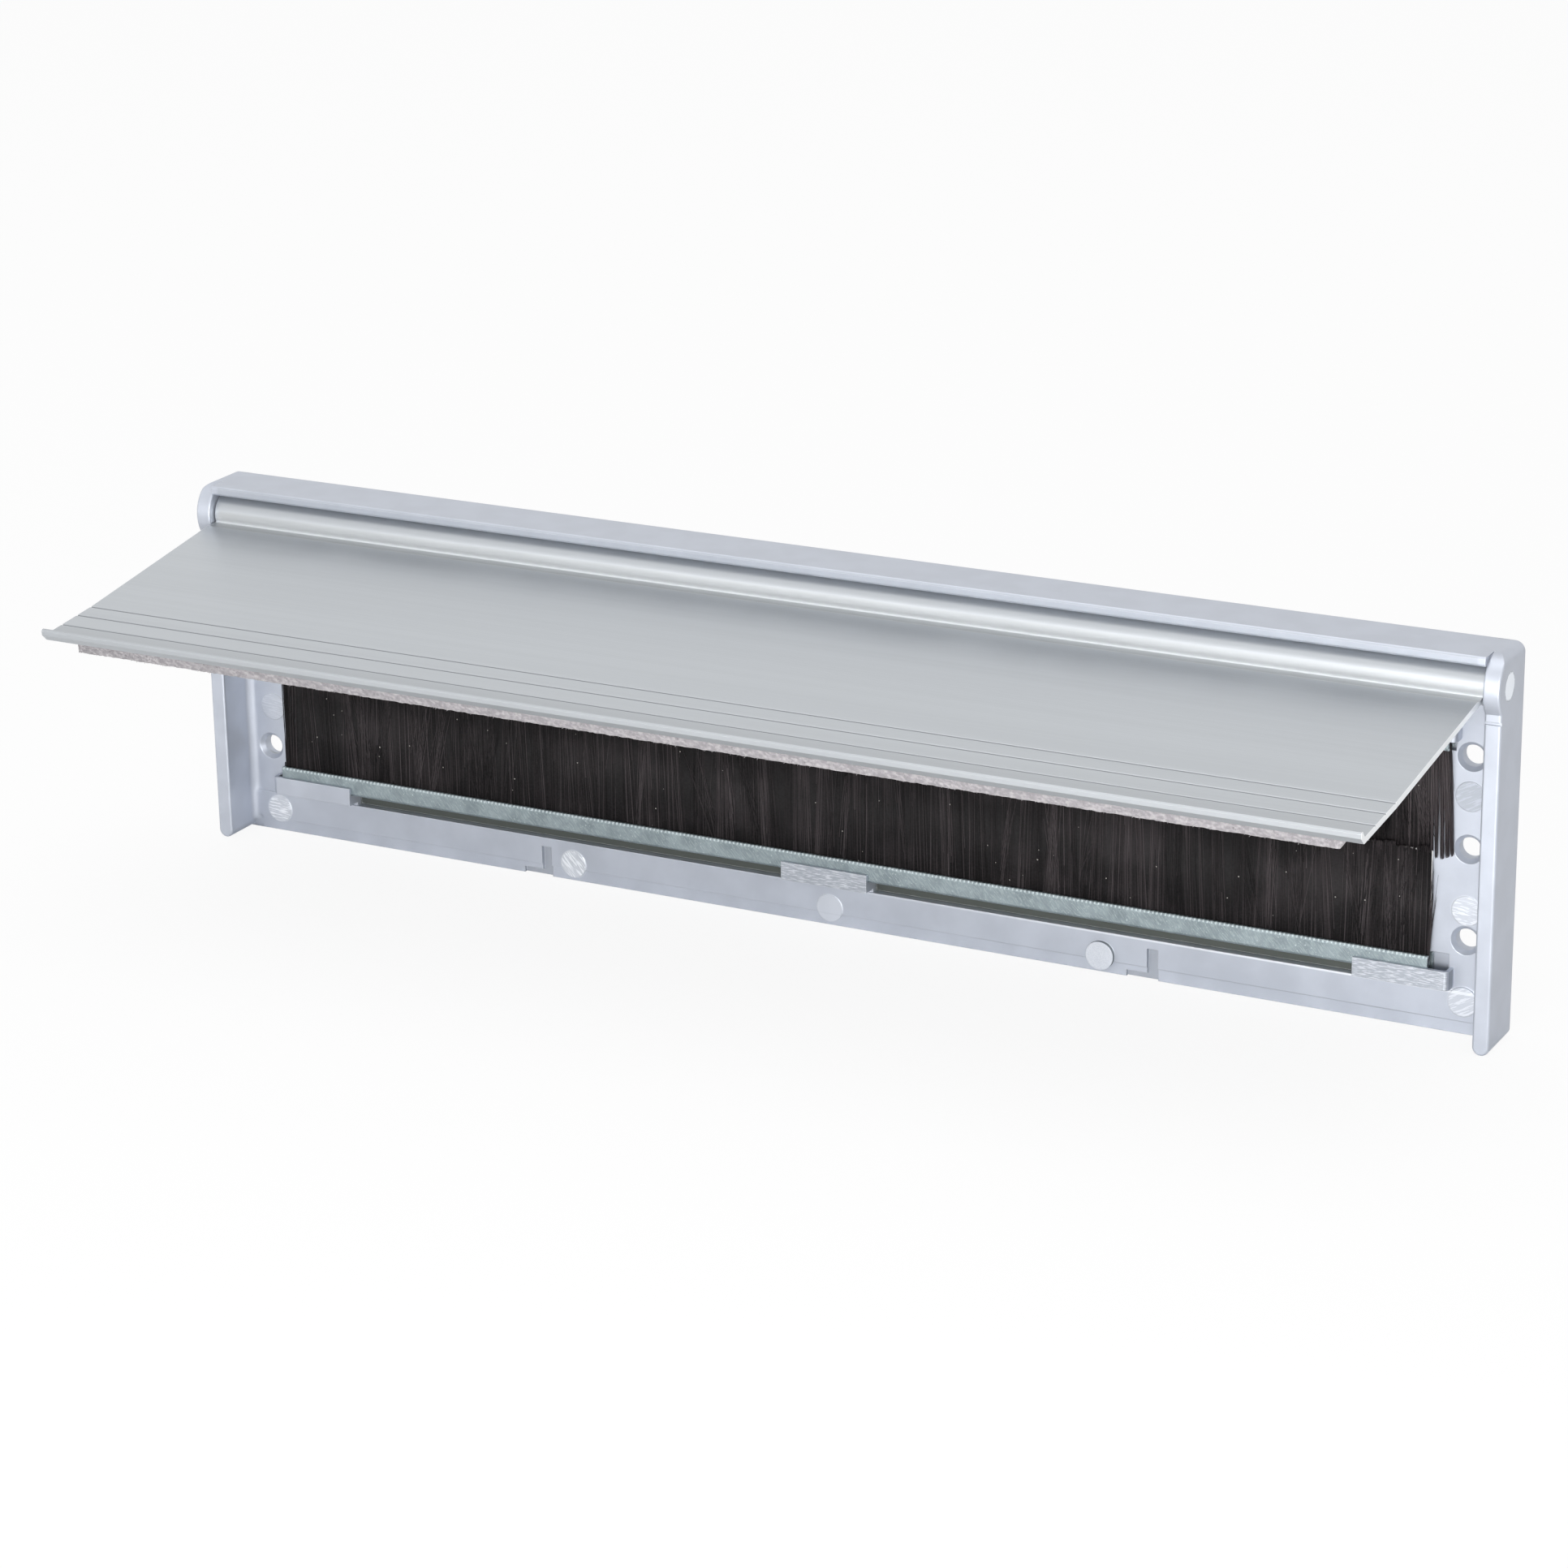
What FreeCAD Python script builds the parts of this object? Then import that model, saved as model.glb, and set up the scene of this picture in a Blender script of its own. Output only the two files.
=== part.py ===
import FreeCAD, Part
import math
import os

# Letterbox draught excluder for the inside of a door. All sizes are in millimetres.
# X runs along the letter slot, Y points at the door and Z is up.
# Heights count from the frame's lower edge. Only the saved solids are moved down,
# so that their origin is the middle of the screw holes, on the face that meets the door.

# Frame
FRAME_LENGTH = 292.0
FRAME_HEIGHT = 80.0
WALL_THICKNESS = 3.4
WALL_DEPTH = 12.4
WEB_THICKNESS = 3.0
CORNER_RADIUS = 2.0
WALL_FOOT_FILLET = 1.2
WALL_EDGE_RADIUS = 0.5
HOOD_THICKNESS = 1.9
HOOD_OVERHANG = 0.5
HOOD_DEPTH = WALL_DEPTH + HOOD_OVERHANG
HOOD_LIP_CHAMFER = 0.4
HALF = FRAME_LENGTH / 2

# Letter opening, with a longer seat for a brush along each of its two long edges
END_PANEL = 15.8
TOP_PANEL = 18.0
OPENING_LENGTH = FRAME_LENGTH - 2 * END_PANEL
OPENING_LOW = 11.5
OPENING_HIGH = FRAME_HEIGHT - TOP_PANEL
MIRROR_Z = (OPENING_LOW + OPENING_HIGH) / 2
BACK_LIP_THICKNESS = 1.4
RAIL_TOP = 8.7
SEAT_OVERHANG = 4.0
SEAT_LENGTH = OPENING_LENGTH + 2 * SEAT_OVERHANG
SEAT_TOP = 16.0

# Raised band along the rail, below the brush
BAND_LOW = 2.6
BAND_PROUD = 0.4
BAND_END_INSET = 4.0
BAND_HALF_LENGTH = HALF - BAND_END_INSET

# Hooks that hold the two brushes
HOOK_FRONT = 6.2
HOOK_WALL = 0.8
HOOK_LENGTH = 19.7
HOOK_END_ROOM = 0.3
HOOK_OUTER_END = SEAT_LENGTH / 2 + HOOK_END_ROOM + HOOK_WALL
HOOK_LOW = 9.5
HOOK_TOP = 13.4
HOOK_FLOOR = 2.0
HOOK_CORNER_RADIUS = 1.0

# Notches with a tongue, in the rail's lower edge
NOTCH_CENTRE = 70.1
NOTCH_WIDTH = 6.9
NOTCH_HEIGHT = 6.7
NOTCH_DEPTH = 1.2
TONGUE_WIDTH = 4.5
TONGUE_LIFT = 1.3

# Screw holes
SCREW_INSET = 8.6
SCREW_TOP_INSET = 23.3
SCREW_X = HALF - SCREW_INSET
SCREW_LOW_Z = 19.3
SCREW_PITCH = (FRAME_HEIGHT - SCREW_TOP_INSET - SCREW_LOW_Z) / 2
ORIGIN_Z = SCREW_LOW_Z + SCREW_PITCH
SCREW_HOLE_RADIUS = 2.2
COUNTERSINK_RADIUS = 3.0
COUNTERSINK_DEPTH = 0.9

# Marks that the ejector pins of the mould leave, those on the web near the middle between two screws
MARK_RADIUS = 3.0
MARK_PROUD = 0.15
STUB_PROUD = 1.0
RAIL_MARK_Z = 3.8
RAIL_MARK_X = 61.2
LEFT_LOW_MARK_INSET = 10.3
LEFT_LOW_MARK_Z = 5.1
RIGHT_LOW_MARK_Z = 6.7
LEFT_WEB_MARK_INSET = 9.6
LEFT_WEB_MARK_DROP = 0.15
RIGHT_WEB_MARK_DROP = 3.25
UPPER_WEB_MARK_RISE = 1.35

# Hinge
HINGE_BEHIND_WALL_FRONT = 4.1
HINGE_SETBACK = WALL_DEPTH - HINGE_BEHIND_WALL_FRONT
BOSS_HALF_HEIGHT = 6.5
BOSS_HALF_DEPTH = 5.8
BOSS_EDGE_RADIUS = 0.4
HINGE_Z = FRAME_HEIGHT - BOSS_HALF_HEIGHT
BOSS_LINE_DROP = 6.4
BOSS_LINE_Z = HINGE_Z - BOSS_LINE_DROP
BOSS_LINE_HEIGHT = 0.6
BOSS_LINE_DEPTH = 0.3
PIN_RADIUS = 2.0
PIN_HEAD_RADIUS = 3.0
PIN_HEAD_LENGTH = 2.2
PIN_REACH = 12.0
RUNNING_CLEARANCE = 0.05

# Flap, measured from the hinge axis along the blade and square to it
FLAP_END_GAP = 0.35
BARREL_RADIUS = 4.2
BLADE_FACE = 0.45
BLADE_THICKNESS = 1.2
CLOSED_BLADE_END_Z = 7.0
BLADE_LENGTH = HINGE_Z - CLOSED_BLADE_END_Z
COVE_END = 7.3
COVE_DEPTH = 0.3
BENT_LENGTH = 16.1
BEND_DISTANCE = BLADE_LENGTH - BENT_LENGTH
BEND_ANGLE = 2.6
LIP_HEIGHT = 1.5
LIP_NOSE = 1.3
LIP_NOSE_HEIGHT = 0.3
GROOVES_FROM_END = (15.7, 10.9, 5.6)
GROOVE_WIDTH = 0.7
GROOVE_DEPTH = 0.35
REST_ANGLE = 8.2

# Seal strip on the inside of the flap
SEAL_LEFT_INSET = 10.4
SEAL_RIGHT_INSET = 7.4
SEAL_LEFT = -HALF + SEAL_LEFT_INSET
SEAL_RIGHT = HALF - SEAL_RIGHT_INSET
SEAL_RIGHT_SLANT = 1.5
SEAL_SETBACK = 1.3
SEAL_OUTER = BLADE_LENGTH - SEAL_SETBACK
SEAL_WIDTH = 10.0
SEAL_THICKNESS = 2.5

# Brushes
BRUSH_SHIFT = 1.4
BRUSH_END_ROOM = 0.8
BRUSH_LENGTH = SEAT_LENGTH - 2 * BRUSH_SHIFT - 2 * BRUSH_END_ROOM
CHANNEL_WIDTH = 3.8
CHANNEL_HEIGHT = 4.1
CHANNEL_SHEET = 0.6
CHANNEL_SETBACK = 1.5
CHANNEL_MIDDLE = CHANNEL_SETBACK + CHANNEL_WIDTH / 2
CHANNEL_LIP = 0.25
WIRE_RADIUS = 0.65
FOLD_GAP = 0.1
LOWER_TIP_RISE = 0.85
UPPER_TIP_DROP = 0.95
LOWER_TIP_Z = MIRROR_Z + LOWER_TIP_RISE
UPPER_TIP_Z = MIRROR_Z - UPPER_TIP_DROP
BRISTLE_END_INSET = 0.3
TIP_THICKNESS = 0.95
RIDGE_PITCH = 2.2
RIDGE_COUNT = round(BRUSH_LENGTH / RIDGE_PITCH)
RIDGE_DEPTH = 0.16


def box(x0, x1, y0, y1, z0, z1):
    """A box between two corners."""
    corner = FreeCAD.Vector(x0, y0, z0)
    return Part.makeBox(x1 - x0, y1 - y0, z1 - z0, corner)


def along_x(points, x0, x1):
    """A prism along X with the outline given as (y, z) points."""
    corners = [FreeCAD.Vector(x0, y, z) for y, z in points]
    wire = Part.makePolygon(corners + corners[:1])
    return Part.Face(wire).extrude(FreeCAD.Vector(x1 - x0, 0, 0))


def rod_x(x0, x1, y, z, radius):
    """A round rod along X."""
    start = FreeCAD.Vector(x0, y, z)
    return Part.makeCylinder(radius, x1 - x0, start, FreeCAD.Vector(1, 0, 0))


def disc_y(x, z, radius, y0, y1):
    """A round disc along Y."""
    start = FreeCAD.Vector(x, y0, z)
    return Part.makeCylinder(radius, y1 - y0, start, FreeCAD.Vector(0, 1, 0))


def joined(shapes):
    """All the shapes fused to one clean solid."""
    whole = shapes[0].fuse(shapes[1:])
    return whole.removeSplitter()


def mirrored_z(shape):
    """The same shape turned upside down about the middle of the letter opening."""
    return shape.mirror(FreeCAD.Vector(0, 0, MIRROR_Z), FreeCAD.Vector(0, 0, 1))


def mirrored_x(shape):
    """The same shape on the other side of the middle."""
    return shape.mirror(FreeCAD.Vector(0, 0, 0), FreeCAD.Vector(1, 0, 0))


def opening_cut():
    """The letter opening, with a longer seat for a channel along each of its two long edges."""
    half = OPENING_LENGTH / 2
    through = box(-half, half, -WEB_THICKNESS - 1, 1, OPENING_LOW, OPENING_HIGH)
    half = SEAT_LENGTH / 2
    seat = box(-half, half, -WEB_THICKNESS - 1, -BACK_LIP_THICKNESS, RAIL_TOP, SEAT_TOP)
    return joined([through, seat, mirrored_z(seat)])


def web():
    """The flat plate that lies on the door, with the letter opening."""
    plate = box(-HALF, HALF, -WEB_THICKNESS, 0, 0, FRAME_HEIGHT)
    return plate.cut(opening_cut())


def boss(x0, x1):
    """The oval boss around the hinge pin."""
    centre = FreeCAD.Vector(x0, -HINGE_SETBACK, HINGE_Z)
    top = FreeCAD.Vector(x0, -HINGE_SETBACK, HINGE_Z + BOSS_HALF_HEIGHT)
    front = FreeCAD.Vector(x0, -HINGE_SETBACK - BOSS_HALF_DEPTH, HINGE_Z)
    oval = Part.Ellipse(top, front, centre).toShape()
    return Part.Face(Part.Wire([oval])).extrude(FreeCAD.Vector(x1 - x0, 0, 0))


def front_edges(shape):
    """The edges that lie all along the shape's front."""
    front = shape.BoundBox.YMin
    return [edge for edge in shape.Edges if edge.BoundBox.YMax < front + 0.001]


def pin_cut():
    """The stepped hole for the right-hand hinge pin."""
    inner = HALF - WALL_THICKNESS
    head = rod_x(HALF - PIN_HEAD_LENGTH, HALF + 1, -HINGE_SETBACK, HINGE_Z, PIN_HEAD_RADIUS)
    shank = rod_x(inner - 1, HALF, -HINGE_SETBACK, HINGE_Z, PIN_RADIUS)
    return head.fuse(shank)


def side_wall():
    """The right-hand side wall with its round lower end and the boss with the hole for the pin."""
    inner = HALF - WALL_THICKNESS
    radius = WALL_THICKNESS / 2
    wall = box(inner, HALF, -WALL_DEPTH, 0, radius, HINGE_Z)
    foot = disc_y(HALF - radius, radius, radius, -WALL_DEPTH, 0)
    wall = joined([wall, foot])
    wall = wall.makeFillet(WALL_EDGE_RADIUS, front_edges(wall))
    line_low = BOSS_LINE_Z - BOSS_LINE_HEIGHT / 2
    line_high = BOSS_LINE_Z + BOSS_LINE_HEIGHT / 2
    line = box(inner - 1, HALF + 1, -WALL_DEPTH - 1, -WALL_DEPTH + BOSS_LINE_DEPTH, line_low, line_high)
    top = box(inner, HALF, -HINGE_SETBACK, 0, HINGE_Z, FRAME_HEIGHT)
    oval = boss(inner, HALF)
    rims = [edge for edge in oval.Edges if edge.BoundBox.XLength < 0.001]
    return joined([wall.cut(line), top, oval.makeFillet(BOSS_EDGE_RADIUS, rims)]).cut(pin_cut())


def wall_foot_fillet():
    """The small sloping corner between the web and the right-hand wall."""
    inner = HALF - WALL_THICKNESS
    size = WALL_FOOT_FILLET
    low = WALL_THICKNESS / 2
    high = HINGE_Z - BOSS_HALF_HEIGHT
    corners = [
        FreeCAD.Vector(inner, -WEB_THICKNESS, low),
        FreeCAD.Vector(inner, -WEB_THICKNESS - size, low),
        FreeCAD.Vector(inner - size, -WEB_THICKNESS, low),
    ]
    wire = Part.makePolygon(corners + corners[:1])
    return Part.Face(wire).extrude(FreeCAD.Vector(0, 0, high - low))


def hood():
    """The narrow hood between the two bosses, with small chamfers on its front lip."""
    inner = HALF - WALL_THICKNESS
    front = -HOOD_DEPTH
    low = FRAME_HEIGHT - HOOD_THICKNESS
    chamfer = HOOD_LIP_CHAMFER
    outline = [
        (0, low),
        (front + chamfer, low),
        (front, low + chamfer),
        (front, FRAME_HEIGHT - chamfer),
        (front + chamfer, FRAME_HEIGHT),
        (0, FRAME_HEIGHT),
    ]
    return along_x(outline, -inner, inner)


def hook_section(x0, x1):
    """One hook: a front wall that stands on a short floor in front of the web."""
    wall = box(x0, x1, -HOOK_FRONT, -HOOK_FRONT + HOOK_WALL, HOOK_LOW, HOOK_TOP)
    floor = box(x0, x1, -HOOK_FRONT, -BACK_LIP_THICKNESS, HOOK_LOW, HOOK_LOW + HOOK_FLOOR)
    root = box(x0, x1, -WEB_THICKNESS, -BACK_LIP_THICKNESS, RAIL_TOP - 1, HOOK_LOW + HOOK_FLOOR)
    return [wall, floor, root]


def end_hook():
    """The right-hand hook, which turns a rounded corner and closes the brush's pocket."""
    outer = HOOK_OUTER_END
    pieces = hook_section(outer - HOOK_LENGTH, outer)
    end = box(outer - HOOK_WALL, outer, -HOOK_FRONT, -WEB_THICKNESS, HOOK_LOW, HOOK_TOP)
    hook = joined(pieces + [end])
    radius = HOOK_CORNER_RADIUS
    square = box(outer - radius, outer + 1, -HOOK_FRONT - 1, -HOOK_FRONT + radius, 0, HOOK_TOP + 1)
    centre = FreeCAD.Vector(outer - radius, -HOOK_FRONT + radius, 0)
    round_part = Part.makeCylinder(radius, HOOK_TOP + 1, centre, FreeCAD.Vector(0, 0, 1))
    return hook.cut(square.cut(round_part))


def hooks():
    """The three hooks of the lower brush and the same three for the upper brush."""
    middle = joined(hook_section(-HOOK_LENGTH / 2, HOOK_LENGTH / 2))
    right = end_hook()
    lower = [middle, right, mirrored_x(right)]
    return lower + [mirrored_z(hook) for hook in lower]


def rail_band():
    """The slightly raised band along the rail."""
    front = -WEB_THICKNESS - BAND_PROUD
    return box(-BAND_HALF_LENGTH, BAND_HALF_LENGTH, front, -WEB_THICKNESS, BAND_LOW, RAIL_TOP)


def notch(centre):
    """The cut beside and below one tongue, open at the rail's lower edge."""
    left = centre - NOTCH_WIDTH / 2
    right = centre + NOTCH_WIDTH / 2
    front = -WEB_THICKNESS - BAND_PROUD - 1
    back = -WEB_THICKNESS - BAND_PROUD + NOTCH_DEPTH
    strip = box(left + TONGUE_WIDTH, right, front, back, -1, NOTCH_HEIGHT)
    below = box(left, right, front, back, -1, TONGUE_LIFT)
    return strip.fuse(below)


def screw_cut(x, z):
    """A screw hole through the web, with a small countersink at the front."""
    hole = disc_y(x, z, SCREW_HOLE_RADIUS, -WEB_THICKNESS - 2, 1)
    start = FreeCAD.Vector(x, -WEB_THICKNESS, z)
    cone = Part.makeCone(
        COUNTERSINK_RADIUS, SCREW_HOLE_RADIUS, COUNTERSINK_DEPTH, start, FreeCAD.Vector(0, 1, 0)
    )
    return hole.fuse(cone)


def screw_cuts():
    """Three screw holes at each end."""
    heights = [SCREW_LOW_Z + SCREW_PITCH * i for i in range(3)]
    return [screw_cut(side * SCREW_X, z) for side in (-1, 1) for z in heights]


def low_mark_places():
    """The centres of the two marks beside the rail's ends."""
    return [(-HALF + LEFT_LOW_MARK_INSET, LEFT_LOW_MARK_Z), (SCREW_X, RIGHT_LOW_MARK_Z)]


def web_mark_places():
    """The centres of the four marks on the web, each near the middle between two screws."""
    left = -HALF + LEFT_WEB_MARK_INSET
    low = ORIGIN_Z - SCREW_PITCH / 2
    high = ORIGIN_Z + SCREW_PITCH / 2 + UPPER_WEB_MARK_RISE
    return [
        (left, low - LEFT_WEB_MARK_DROP),
        (SCREW_X, low - RIGHT_WEB_MARK_DROP),
        (left, high),
        (SCREW_X, high),
    ]


def ejector_marks():
    """The flat round marks on the web and the rail, and the one that stands out as a stub."""
    rail = -WEB_THICKNESS - BAND_PROUD
    marks = [
        disc_y(-RAIL_MARK_X, RAIL_MARK_Z, MARK_RADIUS, rail - MARK_PROUD, -WEB_THICKNESS),
        disc_y(0, RAIL_MARK_Z, MARK_RADIUS, rail - MARK_PROUD, -WEB_THICKNESS),
        disc_y(RAIL_MARK_X, RAIL_MARK_Z, MARK_RADIUS, rail - STUB_PROUD, -WEB_THICKNESS),
    ]
    for x, z in low_mark_places():
        marks.append(disc_y(x, z, MARK_RADIUS, rail - MARK_PROUD, -WEB_THICKNESS))
    web_face = -WEB_THICKNESS
    for x, z in web_mark_places():
        marks.append(disc_y(x, z, MARK_RADIUS, web_face - MARK_PROUD, web_face))
    return marks


def envelope():
    """The outline of the frame seen from the front, with rounded upper corners."""
    radius = CORNER_RADIUS
    front = -HINGE_SETBACK - BOSS_HALF_DEPTH - 1
    middle = box(-HALF + radius, HALF - radius, front, 1, -1, FRAME_HEIGHT)
    sides = box(-HALF, HALF, front, 1, -1, FRAME_HEIGHT - radius)
    right = disc_y(HALF - radius, FRAME_HEIGHT - radius, radius, front, 1)
    return joined([middle, sides, right, mirrored_x(right)])


def wall_foot_corner():
    """What the round lower end of the right-hand wall leaves out of the web's corner."""
    radius = WALL_THICKNESS / 2
    square = box(HALF - radius, HALF + 1, -WALL_DEPTH - 1, 1, -1, radius)
    return square.cut(disc_y(HALF - radius, radius, radius, -WALL_DEPTH - 1, 1))


def make_frame():
    """The moulded frame: web, side walls, hood, hooks, screw holes and mould marks."""
    walls = [side_wall(), mirrored_x(side_wall())]
    fillets = [wall_foot_fillet(), mirrored_x(wall_foot_fillet())]
    plates = [web(), hood(), rail_band()]
    body = joined(plates + walls + fillets + hooks() + ejector_marks())
    body = body.common(envelope())
    notches = [notch(-NOTCH_CENTRE), notch(NOTCH_CENTRE)]
    corners = [wall_foot_corner(), mirrored_x(wall_foot_corner())]
    return body.cut(notches + corners + screw_cuts()).removeSplitter()


def flap_point(distance, height):
    """A point of the flap laid level: distance from the hinge axis, height above it."""
    return (-HINGE_SETBACK - distance, HINGE_Z + height)


def bent_point(distance, height):
    """The same for a point beyond the blade's slight bend, which turns it up."""
    angle = math.radians(BEND_ANGLE)
    base = -BLADE_FACE - BLADE_THICKNESS
    along = distance - BEND_DISTANCE
    rise = height - base
    bent_along = BEND_DISTANCE + along * math.cos(angle) - rise * math.sin(angle)
    bent_rise = base + along * math.sin(angle) + rise * math.cos(angle)
    return flap_point(bent_along, bent_rise)


def flap_blade(x0, x1):
    """The thin blade: a shallow cove beside the barrel, a slight bend and the free edge's lip."""
    top = -BLADE_FACE
    low = -BLADE_FACE - BLADE_THICKNESS
    end = BLADE_LENGTH
    nose = end + LIP_NOSE
    tip = top + LIP_HEIGHT
    bent_part = [
        (BEND_DISTANCE, low),
        (end, low),
        (nose, top + LIP_NOSE_HEIGHT),
        (nose, tip - 0.3),
        (nose - 0.3, tip),
        (nose - 0.7, tip),
        (end - 0.4, top + 0.1),
        (end - 0.7, top),
        (BEND_DISTANCE, top),
    ]
    straight_part = [
        (COVE_END, top),
        (COVE_END - 0.8, top - COVE_DEPTH),
        (0, top - COVE_DEPTH),
        (0, low),
    ]
    outline = [bent_point(*point) for point in bent_part]
    outline += [flap_point(*point) for point in straight_part]
    return along_x(outline, x0, x1)


def groove_cuts(x0, x1):
    """Three fine grooves along the blade, near its free edge."""
    cuts = []
    for from_end in GROOVES_FROM_END:
        distance = BLADE_LENGTH - from_end
        outline = [
            (distance - GROOVE_WIDTH / 2, -BLADE_FACE + 0.01),
            (distance + GROOVE_WIDTH / 2, -BLADE_FACE + 0.01),
            (distance, -BLADE_FACE - GROOVE_DEPTH),
        ]
        cuts.append(along_x([bent_point(*point) for point in outline], x0, x1))
    return cuts


def tilted(shape):
    """The level flap turned down to the angle that it rests at."""
    turned = shape.copy()
    centre = FreeCAD.Vector(0, -HINGE_SETBACK, HINGE_Z)
    turned.rotate(centre, FreeCAD.Vector(1, 0, 0), REST_ANGLE)
    return turned


def flap_half_length():
    """Half the flap's length, which leaves a gap at each side wall."""
    return HALF - WALL_THICKNESS - FLAP_END_GAP


def make_flap():
    """The extruded flap: barrel, blade, grooves and lip."""
    half = flap_half_length()
    barrel = rod_x(-half, half, -HINGE_SETBACK, HINGE_Z, BARREL_RADIUS)
    solid = joined([barrel, flap_blade(-half, half)])
    bore = rod_x(-half - 1, half + 1, -HINGE_SETBACK, HINGE_Z, PIN_RADIUS + RUNNING_CLEARANCE)
    return tilted(solid.cut([bore] + groove_cuts(-half - 1, half + 1)))


def make_seal():
    """The soft strip stuck under the blade's bent part, with its right end cut slanting."""
    top = -BLADE_FACE - BLADE_THICKNESS
    low = top - SEAL_THICKNESS
    inner = SEAL_OUTER - SEAL_WIDTH
    section = [(inner, low), (SEAL_OUTER, low), (SEAL_OUTER, top), (inner, top)]
    strip = along_x([bent_point(*point) for point in section], SEAL_LEFT, SEAL_RIGHT)
    past = SEAL_RIGHT + 1
    slant = [(SEAL_RIGHT - SEAL_RIGHT_SLANT, low), (SEAL_RIGHT, top), (past, top), (past, low)]
    corners = []
    for x, height in slant:
        y, z = bent_point(inner - 1, height)
        corners.append(FreeCAD.Vector(x, y, z))
    y0, z0 = bent_point(0, low)
    y1, z1 = bent_point(SEAL_WIDTH + 2, low)
    end = Part.Face(Part.makePolygon(corners + corners[:1]))
    wedge = end.extrude(FreeCAD.Vector(0, y1 - y0, z1 - z0))
    return tilted(strip.cut(wedge))


def make_pin():
    """The right-hand hinge pin: a flat round head and a shank that the flap turns on."""
    head = rod_x(HALF - PIN_HEAD_LENGTH, HALF, -HINGE_SETBACK, HINGE_Z, PIN_HEAD_RADIUS)
    start = HALF - WALL_THICKNESS - PIN_REACH
    shank = rod_x(start, HALF - PIN_HEAD_LENGTH, -HINGE_SETBACK, HINGE_Z, PIN_RADIUS)
    return joined([head, shank])


def brush_span(shift):
    """The two ends of a brush along X."""
    return shift - BRUSH_LENGTH / 2, shift + BRUSH_LENGTH / 2


def make_channel(shift):
    """The folded metal channel of the lower brush, open at the top, with turned-in lips."""
    x0, x1 = brush_span(shift)
    front = -CHANNEL_SETBACK - CHANNEL_WIDTH
    back = -CHANNEL_SETBACK
    low = OPENING_LOW
    high = OPENING_LOW + CHANNEL_HEIGHT
    sheet = CHANNEL_SHEET
    chamfer = 0.5
    outer = [
        (front + chamfer, low),
        (front, low + chamfer),
        (front, high - chamfer),
        (front + CHANNEL_LIP, high),
        (front + CHANNEL_LIP + sheet, high),
        (front + sheet, high - chamfer),
        (front + sheet, low + sheet),
        (back - sheet, low + sheet),
        (back - sheet, high - chamfer),
        (back - CHANNEL_LIP - sheet, high),
        (back - CHANNEL_LIP, high),
        (back, high - chamfer),
        (back, low + chamfer),
        (back - chamfer, low),
    ]
    return along_x(outer, x0, x1)


def wire_height():
    """The height of the core wire's axis in the lower channel."""
    return OPENING_LOW + CHANNEL_SHEET + FOLD_GAP + 2 * WIRE_RADIUS


def make_wire(shift):
    """The wire that the bristles are folded around."""
    x0, x1 = brush_span(shift)
    inset = BRISTLE_END_INSET
    return rod_x(x0 + inset, x1 - inset, -CHANNEL_MIDDLE, wire_height(), WIRE_RADIUS)


def pack_half_thickness():
    """Half the thickness of the bristles where they leave the channel."""
    return CHANNEL_WIDTH / 2 - CHANNEL_SHEET - CHANNEL_LIP


def pack_root(x0, x1, mouth):
    """The part of the bristles inside the lower channel, folded around the wire."""
    half = pack_half_thickness()
    low = OPENING_LOW + CHANNEL_SHEET + FOLD_GAP
    root = box(x0, x1, -CHANNEL_MIDDLE - half, -CHANNEL_MIDDLE + half, low, mouth)
    return root.cut(rod_x(x0 - 1, x1 + 1, -CHANNEL_MIDDLE, wire_height(), WIRE_RADIUS))


def ridged_face(x0, x1, z):
    """A level face whose front edge runs in small ridges, one for each tuft."""
    half = pack_half_thickness()
    crest = -CHANNEL_MIDDLE - half
    pitch = (x1 - x0) / RIDGE_COUNT
    edge = [FreeCAD.Vector(x0, crest + RIDGE_DEPTH, z)]
    for i in range(RIDGE_COUNT):
        edge.append(FreeCAD.Vector(x0 + pitch * (i + 0.5), crest, z))
        edge.append(FreeCAD.Vector(x0 + pitch * (i + 1), crest + RIDGE_DEPTH, z))
    back = -CHANNEL_MIDDLE + half
    edge.append(FreeCAD.Vector(x1, back, z))
    edge.append(FreeCAD.Vector(x0, back, z))
    return Part.Face(Part.makePolygon(edge + edge[:1]))


def web_beside_opening():
    """The web at the right-hand end of the opening, with a little room, which bristles bend around."""
    half = OPENING_LENGTH / 2 - 0.05
    front = -WEB_THICKNESS - 0.05
    low = SEAT_TOP - 0.05
    return box(half, HALF, front, 1, low, 2 * MIRROR_Z - low)


def make_lower_bristles(shift):
    """The lower bristles: a pack that leans to the front and thins towards its tips."""
    x0, x1 = brush_span(shift)
    x0 += BRISTLE_END_INSET
    x1 -= BRISTLE_END_INSET
    mouth = OPENING_LOW + CHANNEL_HEIGHT
    half = pack_half_thickness()
    pack = ridged_face(x0, x1, mouth).extrude(FreeCAD.Vector(0, 0, LOWER_TIP_Z - mouth))
    back = -CHANNEL_MIDDLE + half
    front = -CHANNEL_MIDDLE - half
    wedge = [
        (back, mouth),
        (front + TIP_THICKNESS, LOWER_TIP_Z),
        (front + TIP_THICKNESS, LOWER_TIP_Z + 1),
        (back + 1, LOWER_TIP_Z + 1),
        (back + 1, mouth),
    ]
    pack = pack.cut(along_x(wedge, x0 - 1, x1 + 1))
    pack = pack.cut([web_beside_opening(), mirrored_x(web_beside_opening())])
    return joined([pack_root(x0, x1, mouth), pack])


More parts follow.
